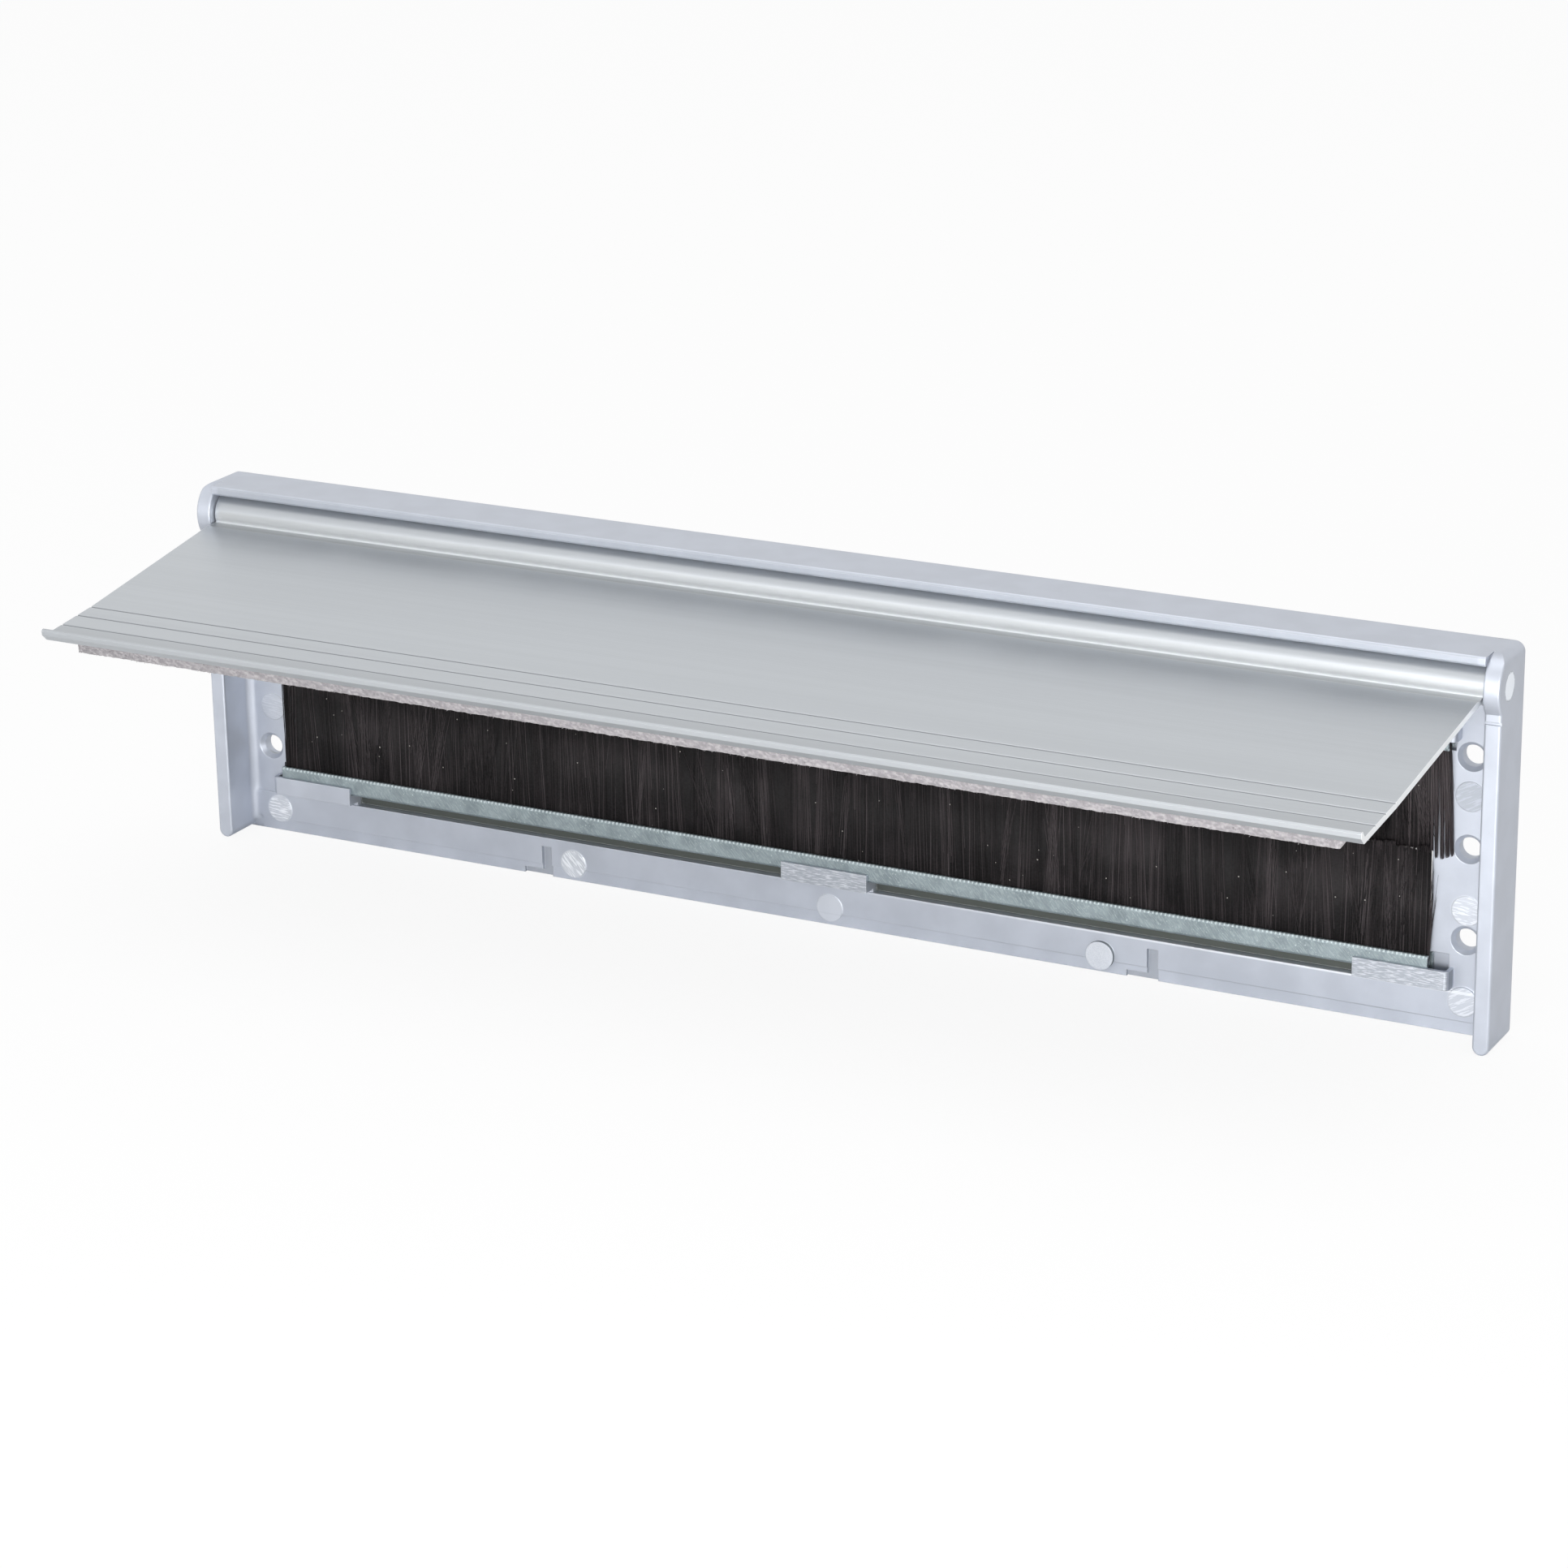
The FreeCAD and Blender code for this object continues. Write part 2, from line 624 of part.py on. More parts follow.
def make_upper_bristles(shift):
    """The upper bristles: a pack that leans to the back, so the tips pass the lower ones."""
    x0, x1 = brush_span(shift)
    x0 += BRISTLE_END_INSET
    x1 -= BRISTLE_END_INSET
    mouth = OPENING_HIGH - CHANNEL_HEIGHT
    half = pack_half_thickness()
    lean = 2 * half - TIP_THICKNESS
    pack = ridged_face(x0, x1, mouth).extrude(FreeCAD.Vector(0, lean, UPPER_TIP_Z - mouth))
    back = -CHANNEL_MIDDLE + half
    pack = pack.cut(box(x0 - 1, x1 + 1, back, back + 5, UPPER_TIP_Z - 1, mouth + 1))
    pack = pack.cut([web_beside_opening(), mirrored_x(web_beside_opening())])
    root = mirrored_z(pack_root(x0, x1, OPENING_LOW + CHANNEL_HEIGHT))
    return joined([root, pack])


def save(name, shape):
    """One solid, moved to the shared origin and written to its own file."""
    solid = shape.Solids[0] if len(shape.Solids) == 1 else shape
    moved = solid.translated(FreeCAD.Vector(0, 0, -ORIGIN_Z))
    moved.exportStep("parts/" + name + ".step")
    print(name, len(shape.Solids), "solid", shape.isValid(), round(shape.Volume, 1), "mm3")


def main():
    os.makedirs("parts", exist_ok=True)
    save("frame", make_frame())
    save("flap", make_flap())
    save("flap_seal", make_seal())
    save("hinge_pin_right", make_pin())
    save("hinge_pin_left", mirrored_x(make_pin()))
    save("lower_brush_channel", make_channel(-BRUSH_SHIFT))
    save("lower_brush_wire", make_wire(-BRUSH_SHIFT))
    save("lower_brush_bristles", make_lower_bristles(-BRUSH_SHIFT))
    save("upper_brush_channel", mirrored_z(make_channel(BRUSH_SHIFT)))
    save("upper_brush_wire", mirrored_z(make_wire(BRUSH_SHIFT)))
    save("upper_brush_bristles", make_upper_bristles(BRUSH_SHIFT))


main()
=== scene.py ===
"""The looks of a letterbox draught excluder: moulded frame, hinged flap, its seal and two strip brushes.

All sizes are in metres, apart from the zones and marks of the finishes, which are in millimetres. X runs
along the letter slot, Y towards the door and Z up, with the origin in the middle of the screw holes on the
door's face.
"""

from __future__ import annotations

import logging
import math
from dataclasses import dataclass, field
from enum import Enum
from functools import reduce
from typing import Any

import bpy
import numpy as np
from mathutils import Matrix, Vector
from numpy.typing import NDArray

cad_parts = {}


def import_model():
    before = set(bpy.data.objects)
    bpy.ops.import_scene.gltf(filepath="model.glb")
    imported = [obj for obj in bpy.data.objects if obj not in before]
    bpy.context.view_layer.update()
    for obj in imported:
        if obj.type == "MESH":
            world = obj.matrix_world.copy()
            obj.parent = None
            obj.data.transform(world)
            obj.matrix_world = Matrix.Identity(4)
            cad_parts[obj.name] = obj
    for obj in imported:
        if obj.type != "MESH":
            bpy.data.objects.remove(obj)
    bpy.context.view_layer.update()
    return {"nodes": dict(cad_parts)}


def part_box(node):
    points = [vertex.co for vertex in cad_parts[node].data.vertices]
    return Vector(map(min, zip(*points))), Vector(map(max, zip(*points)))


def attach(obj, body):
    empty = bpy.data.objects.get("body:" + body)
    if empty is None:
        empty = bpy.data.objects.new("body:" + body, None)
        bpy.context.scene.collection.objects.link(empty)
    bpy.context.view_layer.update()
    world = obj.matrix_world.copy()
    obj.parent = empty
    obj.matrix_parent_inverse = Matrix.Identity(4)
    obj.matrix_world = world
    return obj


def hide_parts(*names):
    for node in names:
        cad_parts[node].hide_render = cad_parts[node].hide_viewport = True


LOG = logging.getLogger("draught_excluder")
MM = 0.001

Array = NDArray[np.float64]
Faces = NDArray[np.int64]
Pack = tuple[Array, Faces, Array]
Colour = tuple[float, float, float, float]
Marks = tuple[tuple[float, float, float], ...]
Socket = bpy.types.NodeSocket
Pieces = dict[str, bpy.types.Object]


def colour(red: int, green: int, blue: int) -> Colour:
    """Turns a display colour of 0 to 255 into the linear colour that shaders take."""
    linear = [(c / 255 / 12.92) if c <= 10 else ((c / 255 + 0.055) / 1.055) ** 2.4 for c in (red, green, blue)]
    return (linear[0], linear[1], linear[2], 1.0)


# Meshes


def make_object(name: str, points: Array, faces: Faces, smooth: bool = True, **numbers: Array) -> bpy.types.Object:
    """Makes a mesh object at the origin from arrays.

    Args:
        name: The piece's name.
        points: One row of x, y, z for each vertex.
        faces: One row of vertex numbers for each face.
        smooth: Whether the faces are shaded smooth.
        numbers: Attributes, each with one number for each vertex, which a material can read by name.

    Returns:
        The new object, linked to the scene.
    """
    mesh = bpy.data.meshes.new(name)
    mesh.from_pydata(points.tolist(), [], faces.tolist())
    mesh.polygons.foreach_set("use_smooth", np.full(len(faces), smooth))
    mesh.update()
    for key, values in numbers.items():
        mesh.attributes.new(key, "FLOAT", "POINT").data.foreach_set("value", values.astype(np.float32))
    made = bpy.data.objects.new(name, mesh)
    bpy.context.scene.collection.objects.link(made)
    return made


@dataclass(frozen=True)
class Fibres:
    """Many thin tapered hairs as one mesh.

    A bow is how far a hair's middle stands off the straight line. The radii are those at the roots, and the taper
    is the tip's share of them.
    """

    roots: Array
    tips: Array
    bows: Array
    radii: Array
    segments: int = 3
    taper: float = 0.5

    def points(self) -> Array:
        """Works out the vertices: root + t (tip - root) + 4 t (1 - t) bow, with three points round it.

        Returns:
            The vertices, hair by hair and ring by ring.
        """
        t = np.linspace(0, 1, self.segments + 1)[None, :, None]
        run = self.tips - self.roots
        line = self.roots[:, None] + t * run[:, None] + 4 * t * (1 - t) * self.bows[:, None]
        along = run / np.linalg.norm(run, axis=1, keepdims=True)
        helper = np.where(np.abs(along[:, :1]) < 0.8, [[1.0, 0, 0]], [[0, 1.0, 0]])
        first = np.cross(along, helper)
        first /= np.linalg.norm(first, axis=1, keepdims=True)
        second = np.cross(along, first)
        turn = np.arange(3) * 2 * np.pi / 3
        ring = first[:, None] * np.cos(turn)[:, None] + second[:, None] * np.sin(turn)[:, None]
        width = self.radii[:, None] * (1 - (1 - self.taper) * t[..., 0])
        return (line[:, :, None] + width[..., None, None] * ring[:, None]).reshape(-1, 3)

    def faces(self) -> Faces:
        """Joins each ring with the next by triangles and closes both ends.

        Returns:
            The triangles.
        """
        rings = np.arange(self.segments)[:, None] * 3
        here, after = np.arange(3)[None], (np.arange(3)[None] + 1) % 3
        low, low_next = rings + here, rings + after
        sides = np.stack([low, low_next, low_next + 3, low, low_next + 3, low + 3], -1).reshape(-1, 3)
        last = self.segments * 3
        one = np.concatenate([sides, [[0, 2, 1]], [[last, last + 1, last + 2]]])
        starts = np.arange(len(self.roots))[:, None, None] * (last + 3)
        return (one[None] + starts).reshape(-1, 3)

    def pack(self, tint: Array) -> Pack:
        """The vertices, the triangles and each hair's tint for all its vertices."""
        return self.points(), self.faces(), np.repeat(tint, (self.segments + 1) * 3)


def joined(packs: list[Pack]) -> Pack:
    """Joins packs into one mesh, whose vertex numbers run on from pack to pack.

    Args:
        packs: The vertices, faces and tints of each pack.

    Returns:
        The same of the whole.
    """
    points, faces, tints = zip(*packs)
    starts = np.cumsum([0, *map(len, points)])
    counted = [numbers + start for numbers, start in zip(faces, starts)]
    return np.concatenate(points), np.concatenate(counted), np.concatenate(tints)


def tube_faces(stations: int, around: int) -> Faces:
    """Joins the rings of a tube by quads; ring i's point j is vertex i times around plus j.

    Args:
        stations: The number of rings.
        around: The points in each ring.

    Returns:
        The quads.
    """
    i, j = np.meshgrid(np.arange(stations - 1), np.arange(around), indexing="ij")
    after = (j + 1) % around
    quads = [i * around + j, i * around + after, (i + 1) * around + after, (i + 1) * around + j]
    return np.stack(quads, -1).reshape(-1, 4)


def halves(quads: Faces) -> Faces:
    """Cuts each quad into two triangles."""
    return np.concatenate([quads[:, [0, 1, 2]], quads[:, [0, 2, 3]]])


def along_x(values: Array) -> Array:
    """Makes vectors that run along X only."""
    return np.pad(values[:, None], ((0, 0), (0, 2)))


# Node sheets


class Sheet:
    """A node tree that is filled in one node at a time."""

    def __init__(self, tree: bpy.types.NodeTree) -> None:
        """Takes the tree that it fills."""
        self.tree = tree

    def fill(self, node: bpy.types.Node, inputs: dict[int | str, Any]) -> None:
        """Gives a node's inputs their values.

        Args:
            node: The node.
            inputs: A constant or another node's output for each input.
        """
        for key, value in inputs.items():
            if isinstance(value, Socket):
                self.tree.links.new(value, node.inputs[key])
            else:
                node.inputs[key].default_value = value

    def add(self, kind: str, inputs: dict[int | str, Any] | None = None, **settings: Any) -> bpy.types.Node:
        """Adds a node.

        Args:
            kind: The node's type name.
            inputs: A constant or another node's output for each input.
            settings: The node's own properties.

        Returns:
            The node.
        """
        node = self.tree.nodes.new(kind)
        for key, value in settings.items():
            setattr(node, key, value)
        self.fill(node, inputs or {})
        return node

    def sum(self, operation: str, first: Any, second: Any = 0.0, clamp: bool = False) -> Socket:
        """Adds a Math node and returns its output."""
        return self.add("ShaderNodeMath", {0: first, 1: second}, operation=operation, use_clamp=clamp).outputs[0]

    def times(self, *values: Any) -> Any:
        """Multiplies all the values."""
        return reduce(lambda first, second: self.sum("MULTIPLY", first, second), values)

    def most(self, *values: Any) -> Any:
        """Takes the largest of the values."""
        return reduce(lambda first, second: self.sum("MAXIMUM", first, second), values)

    def far(self, first: Any, second: Any) -> Socket:
        """The length that two offsets at right angles make."""
        return self.sum("SQRT", self.sum("ADD", self.times(first, first), self.times(second, second)))

    def fade(self, value: Any, low: Any, high: Any, start: float = 0.0, end: float = 1.0) -> Socket:
        """Maps a value smoothly from the range low to high onto start to end."""
        inputs = {"Value": value, "From Min": low, "From Max": high, "To Min": start, "To Max": end}
        return self.add("ShaderNodeMapRange", inputs, interpolation_type="SMOOTHSTEP").outputs[0]

    def blend(self, factor: Any, first: Any, second: Any) -> Socket:
        """Mixes two colours and returns the result."""
        return self.add("ShaderNodeMix", {0: factor, 6: first, 7: second}, data_type="RGBA").outputs[2]

    def layers(self, tint: Any, *over: tuple[Any, Colour]) -> Any:
        """Lays colours over a tint, one after the other, each through its own mask."""
        return reduce(lambda under, layer: self.blend(layer[0], under, layer[1]), over, tint)

    def split(self, vector: Any) -> list[Socket]:
        """Returns a vector's X, Y and Z."""
        return list(self.add("ShaderNodeSeparateXYZ", {0: vector}).outputs)

    def join(self, x: Any, y: Any, z: Any) -> Socket:
        """Makes a vector from three values."""
        return self.add("ShaderNodeCombineXYZ", {0: x, 1: y, 2: z}).outputs[0]

    def noise(self, vector: Any, scale: Any, detail: float) -> Socket:
        """Adds a noise texture and returns its value."""
        return self.add("ShaderNodeTexNoise", {"Vector": vector, "Scale": scale, "Detail": detail}).outputs["Fac"]


class Effect(Enum):
    """The surface effects that several finishes share, by their node group's name."""

    SOFT_EDGE = "soft_edge"
    GRAIN = "grain"
    DRAWN_LINES = "drawn_lines"
    HATCH = "hatch"
    ROUND_MARK = "round_mark"


class EffectGroups:
    """Builds each effect's node group once."""

    def __init__(self) -> None:
        """Builds all the groups."""
        self.made: dict[Effect, bpy.types.NodeTree] = {}
        for build in (self.soft_edge, self.grain, self.drawn_lines, self.hatch, self.round_mark):
            build()

    def begin(self, effect: Effect, inputs: str, outputs: str) -> tuple[Sheet, Any, Any]:
        """Starts a group, whose sockets are numbers, apart from those called Vector or Normal.

        Args:
            effect: Which effect it is.
            inputs: The inputs' names.
            outputs: The outputs' names.

        Returns:
            The sheet, the group's inputs and the node that takes its outputs.
        """
        tree = bpy.data.node_groups.new(effect.value, "ShaderNodeTree")
        for way, names in (("INPUT", inputs), ("OUTPUT", outputs)):
            for name in names.split():
                kind = "NodeSocketVector" if name in ("Vector", "Normal") else "NodeSocketFloat"
                tree.interface.new_socket(name, in_out=way, socket_type=kind)
        self.made[effect] = tree
        sheet = Sheet(tree)
        return sheet, sheet.add("NodeGroupInput").outputs, sheet.add("NodeGroupOutput")

    def soft_edge(self) -> None:
        """Rounds every edge by a radius, and marks where the rounded normal leaves the face's own."""
        sheet, given, out = self.begin(Effect.SOFT_EDGE, "Radius", "Normal Edge")
        rounded = sheet.add("ShaderNodeBevel", {"Radius": given["Radius"]}, samples=6).outputs[0]
        own = sheet.add("ShaderNodeNewGeometry").outputs["True Normal"]
        same = sheet.add("ShaderNodeVectorMath", {0: rounded, 1: own}, operation="DOT_PRODUCT").outputs["Value"]
        sheet.fill(out, {"Normal": rounded, "Edge": sheet.fade(same, 0.99, 0.8)})

    def grain(self) -> None:
        """Fine grain and slow mottling: two noises of the place, one at each scale."""
        sheet, given, out = self.begin(Effect.GRAIN, "Vector Fine Coarse", "Grain Mottle")
        fine = sheet.noise(given["Vector"], given["Fine"], 3.0)
        sheet.fill(out, {"Grain": fine, "Mottle": sheet.noise(given["Vector"], given["Coarse"], 4.0)})

    def drawn_lines(self) -> None:
        """Lines along X as a die leaves them: noise that hardly changes along X and fast across it."""
        sheet, given, out = self.begin(Effect.DRAWN_LINES, "Vector Across", "Lines")
        x, y, z = sheet.split(given["Vector"])
        place = sheet.join(sheet.times(x, 4.0), sheet.times(y, given["Across"]), sheet.times(z, given["Across"]))
        sheet.fill(out, {"Lines": sheet.noise(place, 1.0, 3.0)})

    def hatch(self) -> None:
        """Broken slanting scratches in the X-Z plane: noise that is stretched along one diagonal."""
        sheet, given, out = self.begin(Effect.HATCH, "Vector Pitch Slant", "Scratch")
        x, _, z = sheet.split(given["Vector"])
        cosine, sine = sheet.sum("COSINE", given["Slant"]), sheet.sum("SINE", given["Slant"])
        along = sheet.sum("ADD", sheet.times(x, cosine), sheet.times(z, sine))
        across = sheet.sum("SUBTRACT", sheet.times(z, cosine), sheet.times(x, sine))
        length = sheet.times(given["Pitch"], 9.0)
        place = sheet.join(sheet.sum("DIVIDE", along, length), sheet.sum("DIVIDE", across, given["Pitch"]), 0.0)
        sheet.fill(out, {"Scratch": sheet.fade(sheet.noise(place, 1.0, 2.0), 0.48, 0.62)})

    def round_mark(self) -> None:
        """A disc in the X-Z plane and the thin ring round it."""
        sheet, given, out = self.begin(Effect.ROUND_MARK, "Vector X Z Radius", "Disc Ring")
        x, _, z = sheet.split(given["Vector"])
        far = sheet.far(sheet.sum("SUBTRACT", x, given["X"]), sheet.sum("SUBTRACT", z, given["Z"]))
        share = sheet.sum("DIVIDE", far, given["Radius"])
        rim = sheet.sum("ABSOLUTE", sheet.sum("SUBTRACT", share, 1.0))
        sheet.fill(out, {"Disc": sheet.fade(share, 1.05, 0.92), "Ring": sheet.fade(rim, 0.12, 0.02)})


class Axis(Enum):
    """What a zone's edge is measured along; OUT is the distance from the middle plane, on both sides."""

    X = 0
    Y = 1
    Z = 2
    OUT = 3


Zone = tuple[tuple[Axis, float, float], ...]


def band(axis: Axis, middle: float, half: float, core: float) -> Zone:
    """A narrow band's two edges: the mask is 0 at half from the middle and 1 at core from it."""
    return ((axis, middle - half, middle - core), (axis, middle + half, middle + core))


class Coat(Sheet):
    """The sheet of one material, which knows the place on the piece and the shared effects."""

    def __init__(self, tree: bpy.types.NodeTree, groups: EffectGroups) -> None:
        """Takes the material's tree and the effects' groups."""
        super().__init__(tree)
        self.groups, self.place = groups, self.add("ShaderNodeTexCoord").outputs["Object"]

    def zone(self, edges: Zone, share: float = 1.0) -> Any:
        """Masks a zone of the piece: the product of one fade for each of its edges.

        Args:
            edges: Each edge's axis, where the mask is 0 and where it is 1.
            share: The mask's full strength.

        Returns:
            The mask.
        """
        place = self.split(self.place)
        mask: Any = share
        for axis, none, full in edges:
            value = self.sum("ABSOLUTE", place[0]) if axis is Axis.OUT else place[axis.value]
            mask = self.times(mask, self.fade(value, none * MM, full * MM))
        return mask

    def effect(self, effect: Effect, **inputs: Any) -> Any:
        """Places an effect's group with its own values and returns its outputs."""
        return self.add("ShaderNodeGroup", inputs, node_tree=self.groups.made[effect]).outputs

    def soft_edge(self, radius: Any) -> tuple[Socket, Socket]:
        """The normal with rounded edges, and the mask of the edges."""
        made = self.effect(Effect.SOFT_EDGE, Radius=radius)
        return made["Normal"], made["Edge"]

    def grain(self, fine: float, coarse: float) -> tuple[Socket, Socket]:
        """The fine grain and the slow mottling at their scales."""
        made = self.effect(Effect.GRAIN, Vector=self.place, Fine=fine, Coarse=coarse)
        return made["Grain"], made["Mottle"]

    def scratches(self, pitch: float, angle: float) -> Any:
        """Scratches with a pitch in millimetres that rise by an angle in degrees."""
        slant = math.radians(angle)
        return self.effect(Effect.HATCH, Vector=self.place, Pitch=pitch * MM, Slant=slant)["Scratch"]

    def bump(self, height: Any, strength: float, depth: float, **normal: Any) -> Socket:
        """Turns a height in millimetres of depth into a normal, over another one where that is given."""
        inputs = {"Height": height, "Strength": strength, "Distance": depth * MM, **normal}
        return self.add("ShaderNodeBump", inputs).outputs[0]

    def attribute(self, name: str) -> Socket:
        """Reads one of the piece's own numbers."""
        return self.add("ShaderNodeAttribute", attribute_name=name).outputs["Fac"]


# Finishes


@dataclass(frozen=True)
class Finish:
    """What all finishes share: the effects' groups, the material's name and the shader's constant values."""

    groups: EffectGroups
    name: str = ""
    metallic: float = 0.0
    specular: float = 0.5
    sheen: float = 0.0

    def paint(self, coat: Coat) -> dict[str, Any]:
        """Each finish works out here what varies over the piece, by the shader's input."""
        raise NotImplementedError

    def material(self) -> bpy.types.Material:
        """Makes the material with its Principled shader.

        Returns:
            The material.
        """
        made = bpy.data.materials.new(self.name)
        made.use_nodes = True
        made.node_tree.nodes.clear()
        coat = Coat(made.node_tree, self.groups)
        constants = {"Metallic": self.metallic, "Specular IOR Level": self.specular, "Sheen Weight": self.sheen}
        shader = coat.add("ShaderNodeBsdfPrincipled", {**constants, **self.paint(coat)})
        coat.add("ShaderNodeOutputMaterial", {"Surface": shader.outputs[0]})
        return made


@dataclass(frozen=True)
class SilverPlastic(Finish):
    """Silver-grey moulded plastic with ejector marks and scratched hooks, painted shade in its hollows, on the hood's
    front and at the rail's step, and painted highlights on its edges and along the rail's top.

    Each mark has its x, its z and its strength.
    """

    name: str = "silver_plastic"
    metallic: float = 0.6
    base: Colour = colour(190, 195, 205)
    deep: Colour = colour(184, 189, 199)
    # Pale: the scratches' own colour and the painted highlights on the edges and along the rail's top.
    pale: Colour = colour(238, 241, 246)
    # The colour of the painted shade in the hollows and on shaded faces.
    shade: Colour = colour(84, 88, 84)
    # Dull: worn hooks and marks, and the painted shade on the hood's front and at the rail's step.
    dull: Colour = colour(160, 165, 173)
    falling_marks: Marks = ((-61.2, -34.2, 1.1),)
    rising_marks: Marks = ((137.4, -31.3, 0.6),)
    level_marks: Marks = ((-135.7, -32.9, 1.0), (-136.4, -9.5, 0.3), (137.4, -12.6, 0.6), (-136.4, 10.7, 0.3))
    plain_mark: Marks = ((0.0, -34.2, 0.3),)
    dull_mark: Marks = ((137.4, 10.7, 0.8),)
    stub: Marks = ((61.2, -34.2, 1.0),)
    mark_radius: float = 3.0 * MM
    front: Zone = ((Axis.Y, -1.5, -2.0),)
    stub_top: Zone = ((Axis.Y, -4.25, -4.35),)
    stub_side: Zone = ((Axis.Y, -3.45, -3.5), (Axis.Y, -4.35, -4.25))
    hook_front: Zone = ((Axis.Y, -5.7, -6.1), (Axis.Y, -7.2, -6.6), (Axis.Z, -21, -24))
    hook_range: Zone = ((Axis.X, -100, -90), (Axis.X, 141, 140))
    # The hook's right end, the seat's floor, the stub's side and the notch floors get painted shade.
    hook_end: Zone = (*band(Axis.X, 135.3, 0.12, 0.06), (Axis.Y, -3.55, -3.7), (Axis.Z, -21, -22))
    seat_floor: Zone = ((Axis.Y, -1.9, -1.5), (Axis.Y, -1.0, -1.3), (Axis.Z, -20, -22))
    seat_range: Zone = ((Axis.X, 131, 130), (Axis.X, -141, -140))
    wall_feet: Zone = ((Axis.OUT, 140.2, 140.8), (Axis.OUT, 143.0, 142.7), (Axis.Y, -6.5, -5.5))
    # Painted shade: the hood's front face is darkened with the dull colour.
    hood_front: Zone = ((Axis.Y, -12.55, -12.8), (Axis.Z, 40.0, 40.2), (Axis.OUT, 141.6, 140.6))
    # A painted dark line at the rail's band step and a painted pale line along the rail's top, both stronger to the
    # right.
    rail_right: Zone = ((Axis.X, -40, 110), (Axis.X, 142, 141.5), (Axis.Y, -3.7, -3.5), (Axis.Y, -2.8, -2.9))
    rail_step_shade: Zone = band(Axis.Z, -35.4, 0.24, 0.096)
    rail_top_highlight: Zone = band(Axis.Z, -29.4, 0.45, 0.18)
    notch_floor: Zone = ((Axis.Y, -3.5, -3.1), (Axis.Y, -0.5, -0.9))
    notch_centres: tuple[float, float] = (-70.1, 70.1)

    def paint(self, coat: Coat) -> dict[str, Any]:
        """Mottled plastic under rubbed and scratched faces, with painted shade in the hollows, on the hood's front and
        at the rail's step, and painted highlights on the edges and along the rail's top.

        Args:
            coat: The material's sheet.

        Returns:
            The shader's inputs.
        """
        grain, mottle = coat.grain(5200.0, 160.0)
        foot = coat.zone(self.wall_feet)
        soft, edge = coat.soft_edge(coat.fade(foot, 0.0, 1.0, 0.2 * MM, 1.5 * MM))
        hooks = coat.zone(self.hook_front + self.hook_range)
        rough, worn_and_painted_shade = self.scratched(coat)
        rough = coat.most(rough, coat.times(hooks, coat.scratches(0.22, 0), 0.45))
        # The hooks are dulled as worn faces, and the hood's front gets a painted shade.
        worn_and_painted_shade = coat.most(worn_and_painted_shade, coat.times(hooks, 0.75), coat.zone(self.hood_front, 0.6))
        stub, stub_rim = self.discs(coat, self.stub)
        stub_top = coat.times(stub, coat.zone(self.stub_top), coat.fade(grain, 0.3, 0.7, 0.25, 0.65))
        dull_disc = self.discs(coat, self.dull_mark)[0]
        # Painted shade: the seat's floor under the channel, the notch floors, the stub's side and the hook's right end
        # are darkened.
        painted_shade = coat.most(
            coat.zone(self.seat_floor + self.seat_range),
            *self.notches(coat),
            coat.times(stub_rim, coat.zone(self.stub_side, 0.75)),
            coat.zone(self.hook_end, 0.5),
        )
        # Painted highlight along the rounded edges, left out at the wall feet.
        painted_edge_highlight = coat.times(edge, coat.fade(foot, 0.0, 0.5, 0.65, 0.0))
        tint = coat.layers(
            coat.blend(coat.fade(mottle, 0.3, 0.7), self.deep, self.base),
            (worn_and_painted_shade, self.dull),
            (rough, self.pale),
            (stub_top, self.pale),
            (coat.times(dull_disc, coat.fade(coat.scratches(0.4, 28), 0.0, 1.0, 1.0, 0.3)), self.dull),
            (painted_shade, self.shade),
            # Painted shade at the rail's band step, and a painted highlight along the rail's top.
            (coat.zone(self.rail_right + self.rail_step_shade, 0.8), self.dull),
            (coat.most(painted_edge_highlight, coat.zone(self.rail_right + self.rail_top_highlight, 0.75)), self.pale),
        )
        height = coat.sum("ADD", grain, coat.times(rough, 3.0))
        return {
            "Base Color": tint,
            "Roughness": coat.fade(mottle, 0.2, 0.8, 0.4, 0.46),
            "Normal": coat.bump(height, 0.35, 0.03, Normal=soft),
        }

    def scratched(self, coat: Coat) -> tuple[Any, Any]:
        """The ejector marks, whose scratches run in one of three directions.

        Args:
            coat: The material's sheet.

        Returns:
            The masks of the bright scratches and rims, and of the dull gaps between the scratches.
        """
        bright, rim = self.discs(coat, self.plain_mark)
        gaps: Any = 0.0
        marked = ((self.rising_marks, 0.4, 28), (self.falling_marks, 0.4, -48), (self.level_marks, 0.36, -6))
        for marks, pitch, angle in marked:
            lines = coat.scratches(pitch, angle)
            disc, ring = self.discs(coat, marks)
            rim = coat.most(rim, ring)
            bright = coat.most(bright, coat.times(disc, coat.fade(lines, 0.0, 0.7, 0.4, 1.0)))
            gaps = coat.most(gaps, coat.times(disc, coat.fade(lines, 0.0, 1.0, 0.35, 0.0)))
        return coat.most(bright, coat.times(rim, 0.35)), gaps

    def discs(self, coat: Coat, marks: Marks) -> list[Any]:
        """Some of the round marks on the front faces.

        Args:
            coat: The material's sheet.
            marks: The marks.

        Returns:
            The masks of their discs and of their rims.
        """
        front = coat.zone(self.front)
        masks = []
        for x, z, strength in marks:
            mark = coat.effect(Effect.ROUND_MARK, Vector=coat.place, X=x * MM, Z=z * MM, Radius=self.mark_radius)
            masks.append([coat.times(mark[part], strength, front) for part in ("Disc", "Ring")])
        return [coat.most(*parts) for parts in zip(*masks)]

